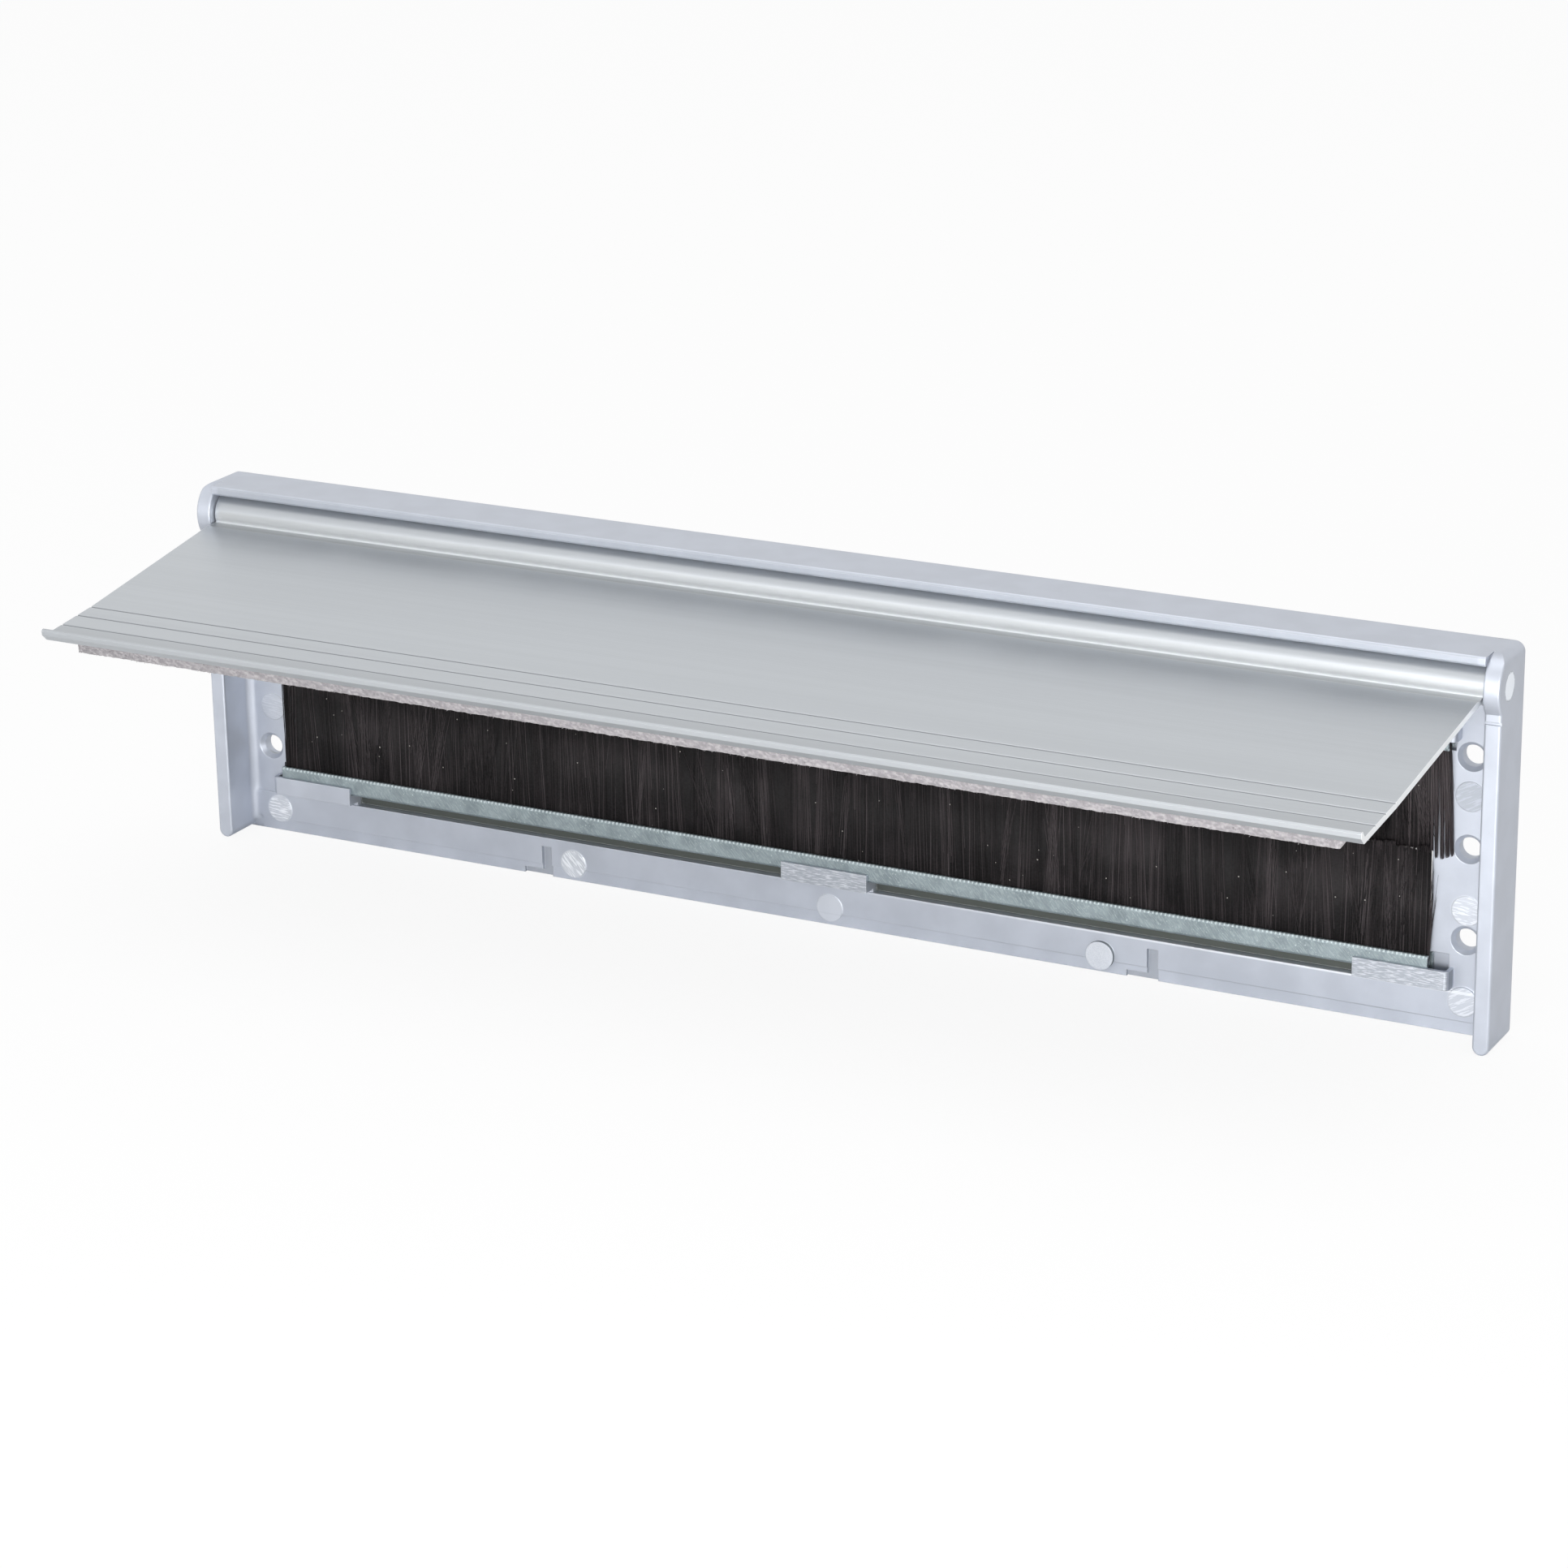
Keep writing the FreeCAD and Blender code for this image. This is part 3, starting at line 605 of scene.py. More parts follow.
    def notches(self, coat: Coat) -> list[Any]:
        """The painted shade on the floors of the two notches, beside and below their tongues.

        Args:
            coat: The material's sheet.

        Returns:
            The masks of the painted shade on the floors.
        """
        masks = []
        for centre in self.notch_centres:
            inside = self.notch_floor + band(Axis.X, centre, 3.6, 3.5)
            beside = ((Axis.X, centre + 0.9, centre + 1.0), (Axis.Z, -31.2, -31.4))
            below = ((Axis.Z, -36.5, -36.8),)
            masks += [coat.zone(inside + part, 0.22) for part in (beside, below)]
        return masks


@dataclass(frozen=True)
class AnodisedAluminium(Finish):
    """Satin anodised extrusion with fine lines along it, painted shade in its grooves, on its cove and near its lip, a
    painted highlight along the barrel's foot and bright end faces.

    Each groove has the y and z of its middle.
    """

    name: str = "anodised_aluminium"
    metallic: float = 0.75
    base: Colour = colour(189, 193, 197)
    deep: Colour = colour(185, 189, 193)
    # Bright: the end faces' own colour and the painted highlight along the barrel's foot.
    bright_end_and_highlight: Colour = colour(240, 242, 244)
    # The colour of the painted shade in the grooves and near the lip.
    groove: Colour = colour(132, 135, 139)
    # The colour of the painted shade on the cove beside the barrel.
    cove: Colour = colour(172, 175, 177)
    grooves: tuple[tuple[float, float], ...] = ((-58.46, 27.83), (-63.24, 27.37), (-68.52, 26.85))
    cove_band: Zone = ((Axis.Y, -12.3, -12.45), (Axis.Y, -15.56, -15.41), (Axis.Z, 33.11, 33.31))
    lip_strip: Zone = ((Axis.Y, -68.8, -69.4),)
    barrel_foot_highlight: Zone = ((Axis.Y, -11.45, -11.75), (Axis.Y, -12.85, -12.65), (Axis.Z, 33.76, 34.06))
    barrel_low: Zone = ((Axis.Z, 36.36, 34.36),)
    ends: Zone = ((Axis.OUT, 142.15, 142.2),)

    def paint(self, coat: Coat) -> dict[str, Any]:
        """Drawn lines under painted shade in the grooves, on the cove and near the lip, a painted highlight along the
        barrel's foot, and the bright end faces.

        Args:
            coat: The material's sheet.

        Returns:
            The shader's inputs.
        """
        lines, broad = (coat.effect(Effect.DRAWN_LINES, Vector=coat.place, Across=a)["Lines"] for a in (2600.0, 240.0))
        grain, mottle = coat.grain(7000.0, 45.0)
        shade = coat.times(coat.sum("ADD", lines, broad), 0.5)
        # Painted shade: the grooves are darkened along their middles.
        groove_shade = [coat.zone((*band(Axis.Y, y, 0.3, 0.18), (Axis.Z, z - 0.7, z - 0.5))) for y, z in self.grooves]
        tint = coat.layers(
            coat.blend(coat.fade(shade, 0.35, 0.65), self.deep, self.base),
            (coat.most(*groove_shade), self.groove),
            # Painted shade on the cove beside the barrel.
            (coat.zone(self.cove_band), self.cove),
            # Painted shade near the lip.
            (coat.zone(self.lip_strip, 0.15), self.groove),
            # Painted highlight along the barrel's foot.
            (coat.zone(self.barrel_foot_highlight + self.barrel_low, 0.6), self.bright_end_and_highlight),
            (coat.zone(self.ends), self.bright_end_and_highlight),
        )
        height = coat.sum("ADD", lines, coat.times(grain, 0.5))
        return {
            "Base Color": tint,
            "Roughness": coat.fade(mottle, 0.3, 0.7, 0.36, 0.42),
            "Normal": coat.bump(height, 0.1, 0.02, Normal=coat.soft_edge(0.15 * MM)[0]),
        }


@dataclass(frozen=True)
class GalvanisedSteel(Finish):
    """Dull zinc-coated sheet with the rolled crimp's row of dents along its mouth, each with a painted glint."""

    name: str = "galvanised_steel"
    metallic: float = 0.7
    base: Colour = colour(150, 162, 166)
    deep: Colour = colour(132, 144, 148)
    spark: Colour = colour(214, 224, 226)
    crimp_pitch: float = 0.9 * MM
    mouths: Zone = ((Axis.Z, -22.95, -22.8), (Axis.Z, 20.45, 20.3))

    def paint(self, coat: Coat) -> dict[str, Any]:
        """Mottled zinc under scratches, the crimp's dents with their painted glints, and single bright crystals.

        Args:
            coat: The material's sheet.

        Returns:
            The shader's inputs.
        """
        grain, mottle = coat.grain(3000.0, 260.0)
        wave = coat.sum("SINE", coat.times(coat.split(coat.place)[0], 2 * math.pi / self.crimp_pitch))
        crimp = coat.times(coat.fade(wave, 0.0, 0.6), coat.zone(self.mouths))
        tint = coat.layers(
            coat.blend(coat.fade(mottle, 0.3, 0.7), self.deep, self.base),
            (coat.times(coat.scratches(0.2, -48), 0.22), self.spark),
            # Painted glint: the crimp's dents are tinted pale; their depth comes from the bump below.
            (coat.times(crimp, 0.7), self.spark),
            (coat.fade(grain, 0.62, 0.7, 0.0, 0.8), self.spark),
        )
        height = coat.sum("SUBTRACT", grain, coat.times(crimp, 3.0))
        return {
            "Base Color": tint,
            "Roughness": coat.fade(grain, 0.3, 0.7, 0.4, 0.58),
            "Normal": coat.bump(height, 0.4, 0.04, Normal=coat.soft_edge(0.3 * MM)[0]),
        }


@dataclass(frozen=True)
class PalePin(Finish):
    """Pale plastic pin with a rough, slightly darker rim on its head."""

    name: str = "pale_pin"
    specular: float = 0.4
    base: Colour = colour(236, 241, 248)
    rim: Colour = colour(172, 177, 187)
    centre_y: float = -8.3 * MM
    centre_z: float = 35.5 * MM
    radius: float = 3.0 * MM

    def paint(self, coat: Coat) -> dict[str, Any]:
        """A pale disc with a ragged darker rim.

        Args:
            coat: The material's sheet.

        Returns:
            The shader's inputs.
        """
        grain, mottle = coat.grain(2600.0, 700.0)
        _, y, z = coat.split(coat.place)
        far = coat.far(coat.sum("SUBTRACT", y, self.centre_y), coat.sum("SUBTRACT", z, self.centre_z))
        uneven = coat.times(coat.sum("SUBTRACT", grain, 0.5), 0.3)
        ragged = coat.sum("ADD", coat.sum("DIVIDE", far, self.radius), uneven)
        return {
            "Base Color": coat.blend(coat.fade(ragged, 0.84, 0.94), self.base, self.rim),
            "Roughness": coat.fade(mottle, 0.3, 0.7, 0.4, 0.6),
            "Normal": coat.bump(grain, 0.4, 0.05),
        }


@dataclass(frozen=True)
class DarkBristle(Finish):
    """Near-black brown nylon that differs from hair to hair, with a few pale flecks of dust."""

    name: str = "dark_bristle"
    specular: float = 0.25
    dark: Colour = colour(19, 17, 18)
    light: Colour = colour(90, 83, 85)
    dust: Colour = colour(190, 186, 180)

    def paint(self, coat: Coat) -> dict[str, Any]:
        """Each hair's own tint with slow mottling, and the dust's own colour.

        Args:
            coat: The material's sheet.

        Returns:
            The shader's inputs.
        """
        grain, mottle = coat.grain(2500.0, 90.0)
        shade = coat.sum("ADD", coat.attribute("tint"), coat.fade(mottle, 0.3, 0.7, -0.1, 0.1), clamp=True)
        tint = coat.layers(coat.blend(shade, self.dark, self.light), (coat.attribute("dust"), self.dust))
        return {"Base Color": tint, "Roughness": coat.fade(grain, 0.3, 0.7, 0.6, 0.78)}


@dataclass(frozen=True)
class PalePile(Finish):
    """Pale pinkish-grey pile, lighter at its tips."""

    name: str = "pale_pile"
    specular: float = 0.2
    sheen: float = 0.3
    base: Colour = colour(133, 130, 133)
    light: Colour = colour(180, 176, 178)

    def paint(self, coat: Coat) -> dict[str, Any]:
        """Each hair's own tint with fine grain.

        Args:
            coat: The material's sheet.

        Returns:
            The shader's inputs.
        """
        grain, mottle = coat.grain(1900.0, 320.0)
        shade = coat.times(coat.sum("ADD", coat.attribute("tint"), grain), 0.5)
        return {
            "Base Color": coat.blend(coat.fade(shade, 0.25, 0.75), self.base, self.light),
            "Roughness": coat.fade(mottle, 0.2, 0.8, 0.8, 0.95),
            "Normal": coat.bump(grain, 0.8, 0.2),
        }


# Sub-assemblies


def dress(piece: bpy.types.Object, material: bpy.types.Material) -> None:
    """Gives a piece one material all over."""
    piece.data.materials.clear()
    piece.data.materials.append(material)


@dataclass
class KeptPieces:
    """Pieces that stay as the construction has them and only get their finish."""

    nodes: Pieces
    finish: Finish
    names: tuple[str, ...] = ()

    def build(self) -> None:
        """Makes the finish's material and dresses the pieces."""
        material = self.finish.material()
        for name in self.names:
            dress(self.nodes[name], material)


@dataclass
class MouldedFrame(KeptPieces):
    """The one moulding, with its web, side walls, hood, rail and hooks."""

    names: tuple[str, ...] = ("frame",)


@dataclass
class HingePins(KeptPieces):
    """The two pins, whose flat heads show in the bosses."""

    names: tuple[str, ...] = ("hinge_pin_left", "hinge_pin_right")


@dataclass
class AluminiumFlap(KeptPieces):
    """The hinged flap, one extrusion."""

    names: tuple[str, ...] = ("flap",)


@dataclass
class BrushSteel(KeptPieces):
    """The folded channels and the core wires of both brushes."""

    names: tuple[str, ...] = ("lower_brush_channel", "lower_brush_wire", "upper_brush_channel", "upper_brush_wire")


@dataclass
class SealStrip:
    """The pile strip on the inside of the flap: a soft backing and short upright hairs.

    Its section's corners are read from the construction, each with the x of its right end.
    """

    nodes: Pieces
    finish: PalePile
    stations: int = 420
    across: int = 7
    ragged: float = 0.22 * MM
    hair_count: int = 5200
    hair_radius: float = 0.07 * MM
    hair_length: float = 0.5 * MM
    seed: int = 11
    same: float = 1e-5
    left_end: float = field(init=False)
    corners: Array = field(init=False)

    def __post_init__(self) -> None:
        """Reads the four corners at the left end, and then where each of them ends on the right."""
        mesh = self.nodes["flap_seal"].data
        points = np.zeros(len(mesh.vertices) * 3)
        mesh.vertices.foreach_get("co", points)
        points = np.unique(np.round(points.reshape(-1, 3), 6), axis=0)
        left = points[points[:, 0] < points[:, 0].min() + self.same]
        middle = left[:, 1:].mean(0)
        self.corners = left[np.argsort(np.arctan2(left[:, 2] - middle[1], left[:, 1] - middle[0]))]
        self.left_end = self.corners[0, 0]
        near = np.linalg.norm(points[:, None, 1:] - self.corners[None, :, 1:], axis=2) < 2 * self.same
        self.corners[:, 0] = [points[here, 0].max() for here in near.T]

    def rings(self) -> tuple[Array, Array]:
        """Works out the backing's surface: the section's edge, point by point, carried along X.

        Returns:
            The points as stations by points around by 3, and the outward directions of the points around.
        """
        share = np.linspace(0, 1, self.across, endpoint=False)[:, None]
        edge = self.corners[:, None] * (1 - share) + np.roll(self.corners, -1, 0)[:, None] * share
        edge = edge.reshape(-1, 3)
        outward = edge[:, 1:] - edge[:, 1:].mean(0)
        outward /= np.linalg.norm(outward, axis=1, keepdims=True)
        t = np.linspace(0, 1, self.stations)[:, None]
        points = np.repeat(edge[None], self.stations, 0)
        points[..., 0] = self.left_end * (1 - t) + edge[:, 0] * t
        return points, outward

    def build(self) -> bpy.types.Object:
        """Makes the strip in the node's place.

        Returns:
            The strip.
        """
        rng = np.random.default_rng(self.seed)
        points, outward = self.rings()
        stations, around = points.shape[:2]
        dent = rng.uniform(0, self.ragged, (stations, around)) + self.ragged * 0.4
        body = points.copy()
        body[..., 1:] -= dent[..., None] * outward[None]
        body = np.concatenate([body.reshape(-1, 3), [body[0].mean(0), body[-1].mean(0)]])
        count, here = stations * around, np.arange(around)
        after, last = np.roll(here, -1), count - around
        left_fan = np.stack(np.broadcast_arrays(after, here, count), -1)
        right_fan = np.stack(np.broadcast_arrays(last + here, last + after, count + 1), -1)
        faces = np.concatenate([halves(tube_faces(stations, around)), left_fan, right_fan])
        hairs = self.hairs(points, outward, rng)
        backing = (body, faces, rng.uniform(0, 0.6, len(body)))
        vertices, faces, tint = joined([backing, hairs.pack(rng.uniform(0.3, 1, self.hair_count))])
        strip = make_object("seal_strip", vertices, faces, tint=tint)
        dress(strip, self.finish.material())
        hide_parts("flap_seal")
        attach(strip, "flap_body")
        return strip

    def hairs(self, points: Array, outward: Array, rng: np.random.Generator) -> Fibres:
        """Scatters short hairs over the strip's sides.

        Args:
            points: The backing's surface.
            outward: The outward directions of the points around.
            rng: The seeded source of randomness.

        Returns:
            The hairs.
        """
        station = rng.integers(1, self.stations - 1, self.hair_count)
        place = rng.integers(0, points.shape[1], self.hair_count)
        roots = points[station, place].copy()
        direction = np.zeros_like(roots)
        direction[:, 1:] = outward[place]
        roots -= direction * self.hair_length * 0.8
        direction += rng.normal(0, 0.3, direction.shape)
        tips = roots + direction * (self.hair_length * rng.uniform(0.5, 0.9, (self.hair_count, 1)))
        bows = rng.normal(0, 0.03 * MM, roots.shape)
        radii = self.hair_radius * rng.uniform(0.7, 1.2, self.hair_count)
        return Fibres(roots, tips, bows, radii, segments=1, taper=0.4)


@dataclass
class StripBrush:
    """A strip brush: its channel and wire stay, and its bristles become thousands of single hairs.

    Its side is lower or upper, and upward is 1 where the hairs point up and -1 where they point down. The splay is
    how far the last hairs at the right end lean outward.
    """

    side: str
    bristle: DarkBristle
    upward: int
    splay: float
    seed: int
    hair_count: int = 9600
    hair_radius: float = 0.1 * MM
    tuft_width: float = 3.4 * MM
    strand_width: float = 0.8 * MM
    splay_length: float = 8.0 * MM
    strand_count: int = 41
    half_root: float = 0.93 * MM
    half_tip: float = 0.4 * MM
    core_root: float = 0.8 * MM
    core_tip: float = 0.3 * MM
    core_stations: int = 300
    core_wave: int = 4
    opening_half: float = 130.15 * MM
    web_front: float = -3.15 * MM
    fringe_count: int = 34
    speck_count: int = 70
    bunch_count: int = 36
    bunch_size: int = 9
    right_bunches: tuple[float, float] = (114.0 * MM, 127.0 * MM)
    low: Array = field(init=False)
    high: Array = field(init=False)
    rng: np.random.Generator = field(init=False)

    def __post_init__(self) -> None:
        """Reads the bristles' box from the construction and starts the randomness."""
        self.low, self.high = (np.array(corner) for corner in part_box(f"{self.side}_brush_bristles"))
        self.rng = np.random.default_rng(self.seed)

    def span(self) -> tuple[float, float]:
        """The heights of the roots and of the tips."""
        return (self.low[2], self.high[2]) if self.upward > 0 else (self.high[2], self.low[2])

    def middle(self) -> tuple[float, float]:
        """The middle of the pack's thickness at the roots and at the tips: the two brushes pass each other."""
        root, room = (self.low[1] + self.high[1]) / 2, (self.high[1] - self.low[1]) / 2
        return root, root - self.upward * (room - self.half_tip - self.hair_radius * 0.5)

    def front(self, share: Array) -> Array:
        """The place of the pack's front face at a share of the way from the roots to the tips."""
        root, tip = self.middle()
        return root + (tip - root) * share - (self.half_root + (self.half_tip - self.half_root) * share)

    def at(self, x: Array, y: Array, share: Array | float) -> Array:
        """Points at a share of the way from the roots' height to that of the tips."""
        root, tip = self.span()
        return np.stack(np.broadcast_arrays(x, y, root + (tip - root) * share), 1)

    def build(self) -> bpy.types.Object:
        """Makes the bristles in the node's place.

        Returns:
            The bristles.
        """
        packs = [self.core(), self.hairs(), self.fringe(), self.strays(), self.specks()]
        points, faces, tint = joined(packs)
        dust = np.where(np.arange(len(points)) < len(points) - len(packs[-1][0]), 0.0, 1.0)
        bristles = make_object(f"{self.side}_bristles", points, faces, tint=tint, dust=dust)
        dress(bristles, self.bristle.material())
        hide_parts(f"{self.side}_brush_bristles")
        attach(bristles, "frame_body")
        return bristles

    def hairs(self) -> Pack:
        """Lays the hairs in tufts: those of one tuft share a lean and draw together towards the tip.

        Returns:
            The hairs.
        """
        rng, count, x0, x1 = self.rng, self.hair_count, self.low[0], self.high[0]
        x = rng.uniform(x0 + 0.1 * MM, x1 - 0.1 * MM, count)
        borders = np.cumsum(rng.uniform(0.4, 1.6, int((x1 - x0) / self.tuft_width) + 2)) * self.tuft_width + x0
        tuft = np.searchsorted(borders, x)
        starts = np.concatenate([[x0], borders])
        tufts = len(starts) + 1
        centre = (starts[tuft] + starts[np.minimum(tuft + 1, len(starts) - 1)]) / 2
        lean = rng.normal(0, 0.65 * MM, tufts)[tuft]
        draw = rng.uniform(0.6, 0.95, tufts)[tuft]
        reach = rng.normal(0, 0.22 * MM, tufts)[tuft]
        tuft_tint = rng.uniform(-0.1, 0.12, tufts)[tuft]
        inner = np.clip(np.minimum(x - x0, x1 - x) / (5 * MM), 0, 1)
        tip_x = x + ((x - centre) * (draw - 1) + lean) * inner + rng.normal(0, 0.16 * MM, count)
        tip_x += np.where(rng.random(count) < 0.05, rng.normal(0, 1.6 * MM, count) * inner, 0)
        tip_height = self.span()[1] + reach - self.upward * np.abs(rng.normal(0, 0.4 * MM, count))
        tint = np.clip(rng.beta(1.3, 3.4, count) * 0.8 + tuft_tint, 0, 1)
        if self.splay > 0:
            tip_x, tip_height, tint = self.splayed(x, tip_x, tip_height, tint)
        layer = rng.uniform(-1, 1, count)
        outside = np.maximum(np.abs(tip_x), np.abs(x)) > self.opening_half
        root_y = self.held(self.middle()[0] + layer * self.half_root, outside)
        tip_y = self.held(self.middle()[1] + layer * self.half_tip + rng.normal(0, 0.04 * MM, count), outside)
        tips = np.stack([tip_x, tip_y, tip_height], 1)
        bows = along_x(rng.normal(0, 0.1 * MM, count))
        radii = self.hair_radius * rng.uniform(0.6, 1.25, count)
        return Fibres(self.at(x, root_y, 0), tips, bows, radii, segments=2, taper=0.6).pack(tint)

    def held(self, y: Array, outside: Array) -> Array:
        """Keeps the hairs that reach beyond the opening's ends in front of the web."""
        before = self.web_front - self.rng.uniform(0, 0.9 * MM, len(y))
        return np.where(outside, np.minimum(y, before), y)

    def splayed(self, x: Array, tip_x: Array, tip_height: Array, tint: Array) -> tuple[Array, Array, Array]:
        """Parts the hairs at the right end into thin strands that fan out, and tints the strands paler as a painted
        highlight.

        Args:
            x: The roots' places along the brush.
            tip_x: The tips' places along it.
            tip_height: The tips' heights.
            tint: The hairs' tints.

        Returns:
            The tips' new places and heights and the new tints, paler where light is painted on the strands.
        """
        rng, count = self.rng, self.strand_count
        first = self.high[0] - self.splay_length
        share = np.clip((x - first) / self.splay_length, 0, 1)
        strand = np.clip(((x - first) / self.strand_width).astype(int), 0, count - 1)
        middle = first + (strand + 0.5) * self.strand_width
        fanned = middle + (x - middle) * 0.32 + self.splay * share**1.6 * rng.uniform(0.75, 1.2, count)[strand]
        height = tip_height + rng.normal(0, 0.45 * MM, count)[strand]
        # Painted highlight: each strand's hairs are tinted paler by a random step, standing in for the light on the
        # fanned strands.
        pale = np.clip(tint + rng.choice([0.1, 0.4, 0.8], count)[strand], 0, 1)
        ends = x > first
        return np.where(ends, fanned, tip_x), np.where(ends, height, tip_height), np.where(ends, pale, tint)

    def fringe(self) -> Pack:
        """Single hairs that stray from the brush's right end over the web.

        Returns:
            The hairs.
        """
        rng, count = self.rng, self.fringe_count
        x = rng.uniform(self.high[0] - 0.9 * MM, self.high[0], count)
        rise = rng.uniform(0.45, 1.0, count)
        out = np.abs(rng.normal(0.3 * MM, 0.6 * MM, count))
        y = self.web_front - rng.uniform(0.1 * MM, 0.9 * MM, count)
        bows = along_x(rng.normal(0, 0.25 * MM, count))
        radii = np.full(count, self.hair_radius * 0.6)
        return Fibres(self.at(x, y, 0), self.at(x + out, y, rise), bows, radii).pack(rng.uniform(0.2, 0.7, count))

    def strays(self) -> Pack:
        """Bunches of hairs that lie slanting on the pack's front, as a pulled tuft leaves them.

        Returns:
            The hairs.
        """
        rng = self.rng
        left = rng.uniform(self.low[0] + 4 * MM, self.right_bunches[0], self.bunch_count)
        centres = np.concatenate([left, rng.uniform(*self.right_bunches, self.bunch_count // 3)])
        bunches, count = len(centres), len(centres) * self.bunch_size
        lean = np.repeat(rng.normal(0, 2.0 * MM, bunches), self.bunch_size) * rng.uniform(0.4, 1.3, count)
        x = np.repeat(centres, self.bunch_size) + rng.normal(0, 0.45 * MM, count)
        low, high = rng.uniform(0.0, 0.45, count), rng.uniform(0.7, 0.99, count)
        roots, tips = self.at(x, self.front(low), low), self.at(x + lean, self.front(high), high)
        bows = along_x(rng.normal(0, 0.12 * MM, count))
        radii = self.hair_radius * rng.uniform(0.6, 1.0, count)
        tint = np.repeat(rng.choice([0.0, 0.0, 0.15, 0.4], bunches), self.bunch_size)
        tint = np.clip(tint + rng.uniform(-0.1, 0.2, count), 0, 1)
        return Fibres(roots, tips, bows, radii, segments=2, taper=0.7).pack(tint)

    def specks(self) -> Pack:
        """Tiny pale grains that cling to the front of the pack: octahedra.

        Returns:
            The grains.
        """
        rng, count = self.rng, self.speck_count
        share = rng.uniform(0.02, 0.98, count) ** 1.5
        x = rng.uniform(self.low[0] + 2 * MM, self.opening_half - 1 * MM, count)
        centres = self.at(x, self.front(share) - self.hair_radius * 0.5, share)
        corners = np.concatenate([np.eye(3), -np.eye(3)])[None] * rng.uniform(0.07, 0.19, count)[:, None, None] * MM
        points = (centres[:, None] + corners).reshape(-1, 3)
        one = np.array([[0, 1, 2], [1, 3, 2], [3, 4, 2], [4, 0, 2], [1, 0, 5], [3, 1, 5], [4, 3, 5], [0, 4, 5]])
        faces = (one[None] + np.arange(count)[:, None, None] * 6).reshape(-1, 3)
        return points, faces, np.zeros(len(points))

    def core(self) -> Pack:
        """The dense middle of the brush: a thin closed slab with a ragged free edge, in straight lines.

        Returns:
            The slab.
        """
        stations, half, (root_z, tip_z) = self.core_stations, self.opening_half - 0.02 * MM, self.span()
        x = np.linspace(max(self.low[0], -half), min(self.high[0], half), stations)
        knots = self.rng.uniform(-1, 1, stations // self.core_wave + 2)
        ragged = np.interp(np.arange(stations) / self.core_wave, np.arange(len(knots)), knots)
        edge = tip_z - self.upward * (0.8 * MM + 0.3 * MM * ragged)
        root_y, tip_y = self.middle()
        ring = [(root_y + y, root_z) for y in (-self.core_root, self.core_root)]
        ring += [(tip_y + y, edge) for y in (self.core_tip, -self.core_tip)]
        points = np.stack([np.stack(np.broadcast_arrays(x, y, z), 1) for y, z in ring], 1).reshape(-1, 3)
        quads = np.concatenate([tube_faces(stations, 4), [[3, 2, 1, 0], np.arange(4) + 4 * (stations - 1)]])
        return points, halves(quads if self.upward > 0 else quads[:, ::-1]), np.zeros(len(points))


# Studio and camera


@dataclass(frozen=True)
class Softbox:
    """A square lamp that faces the object."""

    name: str
    place: tuple[float, float, float]
    size: float
    watts: float

    def build(self) -> None:
        """Makes the lamp."""
        lamp = bpy.data.lights.new(self.name, "AREA")
        lamp.energy, lamp.size = self.watts, self.size
        made = bpy.data.objects.new(self.name, lamp)
        made.location = self.place
        made.rotation_euler = (-Vector(self.place)).to_track_quat("-Z", "Y").to_euler()
        bpy.context.scene.collection.objects.link(made)


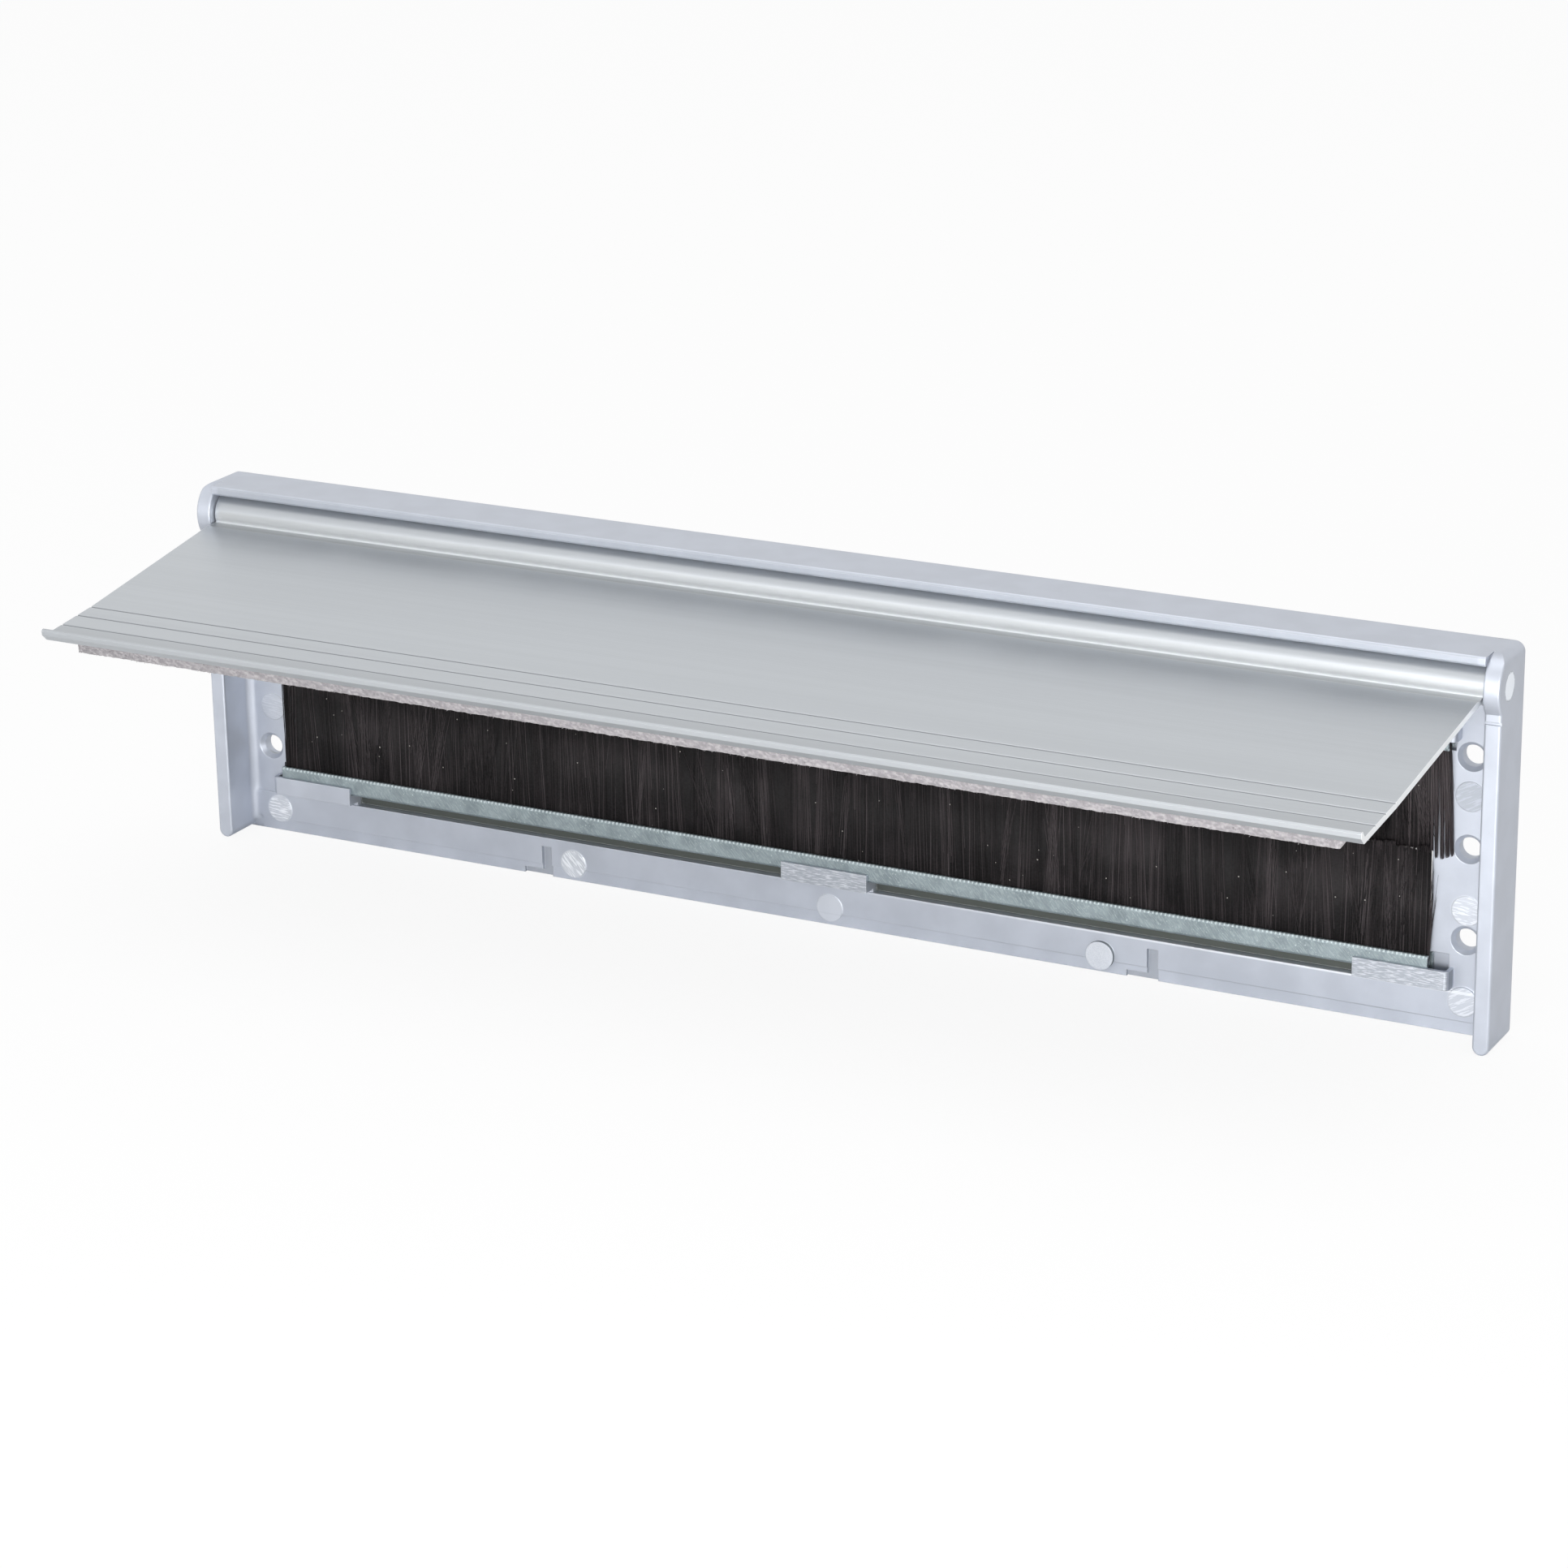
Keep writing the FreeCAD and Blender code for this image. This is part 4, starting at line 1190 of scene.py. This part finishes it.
@dataclass
class Studio:
    """A pale floor under the object, soft lamps and a white surround."""

    floor_z: float = -38.05 * MM
    half: float = 3.0
    paper: Colour = (0.9, 0.9, 0.9, 1.0)
    white: Colour = (1.0, 1.0, 1.0, 1.0)
    glow: float = 0.9
    surround: float = 0.62
    boxes: tuple[Softbox, ...] = (
        Softbox("front", (0.22, -0.56, -0.01), 0.3, 4.7),
        Softbox("above", (0.0, -0.2, 1.6), 1.4, 8.0),
        Softbox("barrel", (-0.42, -1.0, -0.03), 0.6, 2.5),
    )

    def build(self) -> None:
        """Makes the floor, the lamps and the world."""
        corners = np.array([[-1, -1, 0], [1, -1, 0], [1, 1, 0], [-1, 1, 0]], float) * self.half
        corners[:, 2] = self.floor_z
        floor = make_object("floor", corners, np.array([[0, 1, 2, 3]]), smooth=False)
        dress(floor, self.floor_material())
        for box in self.boxes:
            box.build()
        self.world()

    def floor_material(self) -> bpy.types.Material:
        """White paper that the camera sees almost without shading, so that only a faint shadow is left.

        Returns:
            The material.
        """
        made = bpy.data.materials.new("paper")
        made.use_nodes = True
        made.node_tree.nodes.clear()
        sheet = Sheet(made.node_tree)
        paper = sheet.add("ShaderNodeBsdfPrincipled", {"Base Color": self.paper, "Roughness": 1.0})
        glow = sheet.add("ShaderNodeEmission", {"Color": self.white, "Strength": 1.0})
        share = sheet.times(sheet.add("ShaderNodeLightPath").outputs["Is Camera Ray"], self.glow)
        mixed = sheet.add("ShaderNodeMixShader", {0: share, 1: paper.outputs[0], 2: glow.outputs[0]})
        sheet.add("ShaderNodeOutputMaterial", {"Surface": mixed.outputs[0]})
        return made

    def world(self) -> None:
        """Soft light from all round, and plain white where the camera or a reflection looks past the object."""
        world = bpy.data.worlds.new("surround")
        world.use_nodes = True
        world.node_tree.nodes.clear()
        sheet = Sheet(world.node_tree)
        path = sheet.add("ShaderNodeLightPath").outputs
        seen = sheet.most(*(path[f"Is {ray} Ray"] for ray in ("Camera", "Glossy", "Transmission")))
        level = sheet.sum("ADD", sheet.times(seen, 1 - self.surround), self.surround)
        back = sheet.add("ShaderNodeBackground", {"Color": self.white, "Strength": level})
        sheet.add("ShaderNodeOutputWorld", {"Surface": back.outputs[0]})
        bpy.context.scene.world = world
        bpy.context.scene.view_settings.view_transform = "Standard"


@dataclass(frozen=True)
class PhotoCamera:
    """The camera at the photograph's viewing angle, whose angles are in degrees."""

    place: tuple[float, float, float] = (402.8 * MM, -784.91 * MM, 298.91 * MM)
    azimuth: float = 27.86
    elevation: float = 19.18
    roll: float = -0.84
    focal_pixels: float = 5594.93
    image_pixels: float = 1932.0
    near: float = 0.05
    distant: float = 50

    def build(self) -> None:
        """Makes the camera and hands it to the scene."""
        lens = bpy.data.cameras.new("photo_camera")
        lens.sensor_width = 36
        lens.lens = self.focal_pixels * lens.sensor_width / self.image_pixels
        lens.clip_start, lens.clip_end = self.near, self.distant
        made = bpy.data.objects.new("photo_camera", lens)
        turns = ((self.azimuth, "Z"), (90 - self.elevation, "X"), (self.roll, "Z"))
        steps = (Matrix.Rotation(math.radians(angle), 4, axis) for angle, axis in turns)
        made.matrix_world = reduce(Matrix.__matmul__, steps, Matrix.Translation(self.place))
        bpy.context.scene.collection.objects.link(made)
        bpy.context.scene.camera = made


def main() -> None:
    """Builds the draught excluder piece by piece."""
    logging.basicConfig(level=logging.INFO, format="%(name)s: %(message)s")
    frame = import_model()
    nodes = frame["nodes"]
    groups = EffectGroups()
    bristle = DarkBristle(groups)
    kept = (
        MouldedFrame(nodes, SilverPlastic(groups)),
        HingePins(nodes, PalePin(groups)),
        AluminiumFlap(nodes, AnodisedAluminium(groups)),
        BrushSteel(nodes, GalvanisedSteel(groups)),
    )
    for pieces in kept:
        pieces.build()
        LOG.info("dressed: %s", ", ".join(pieces.names))
    strip = SealStrip(nodes, PalePile(groups)).build()
    LOG.info("seal strip: %d faces", len(strip.data.polygons))
    for side, upward, splay, seed in (("lower", 1, 0.0, 21), ("upper", -1, 1.8 * MM, 22)):
        made = StripBrush(side, bristle, upward, splay, seed).build()
        LOG.info("%s brush: %d faces", side, len(made.data.polygons))
    Studio().build()
    PhotoCamera().build()


if __name__ == "__main__":
    main()
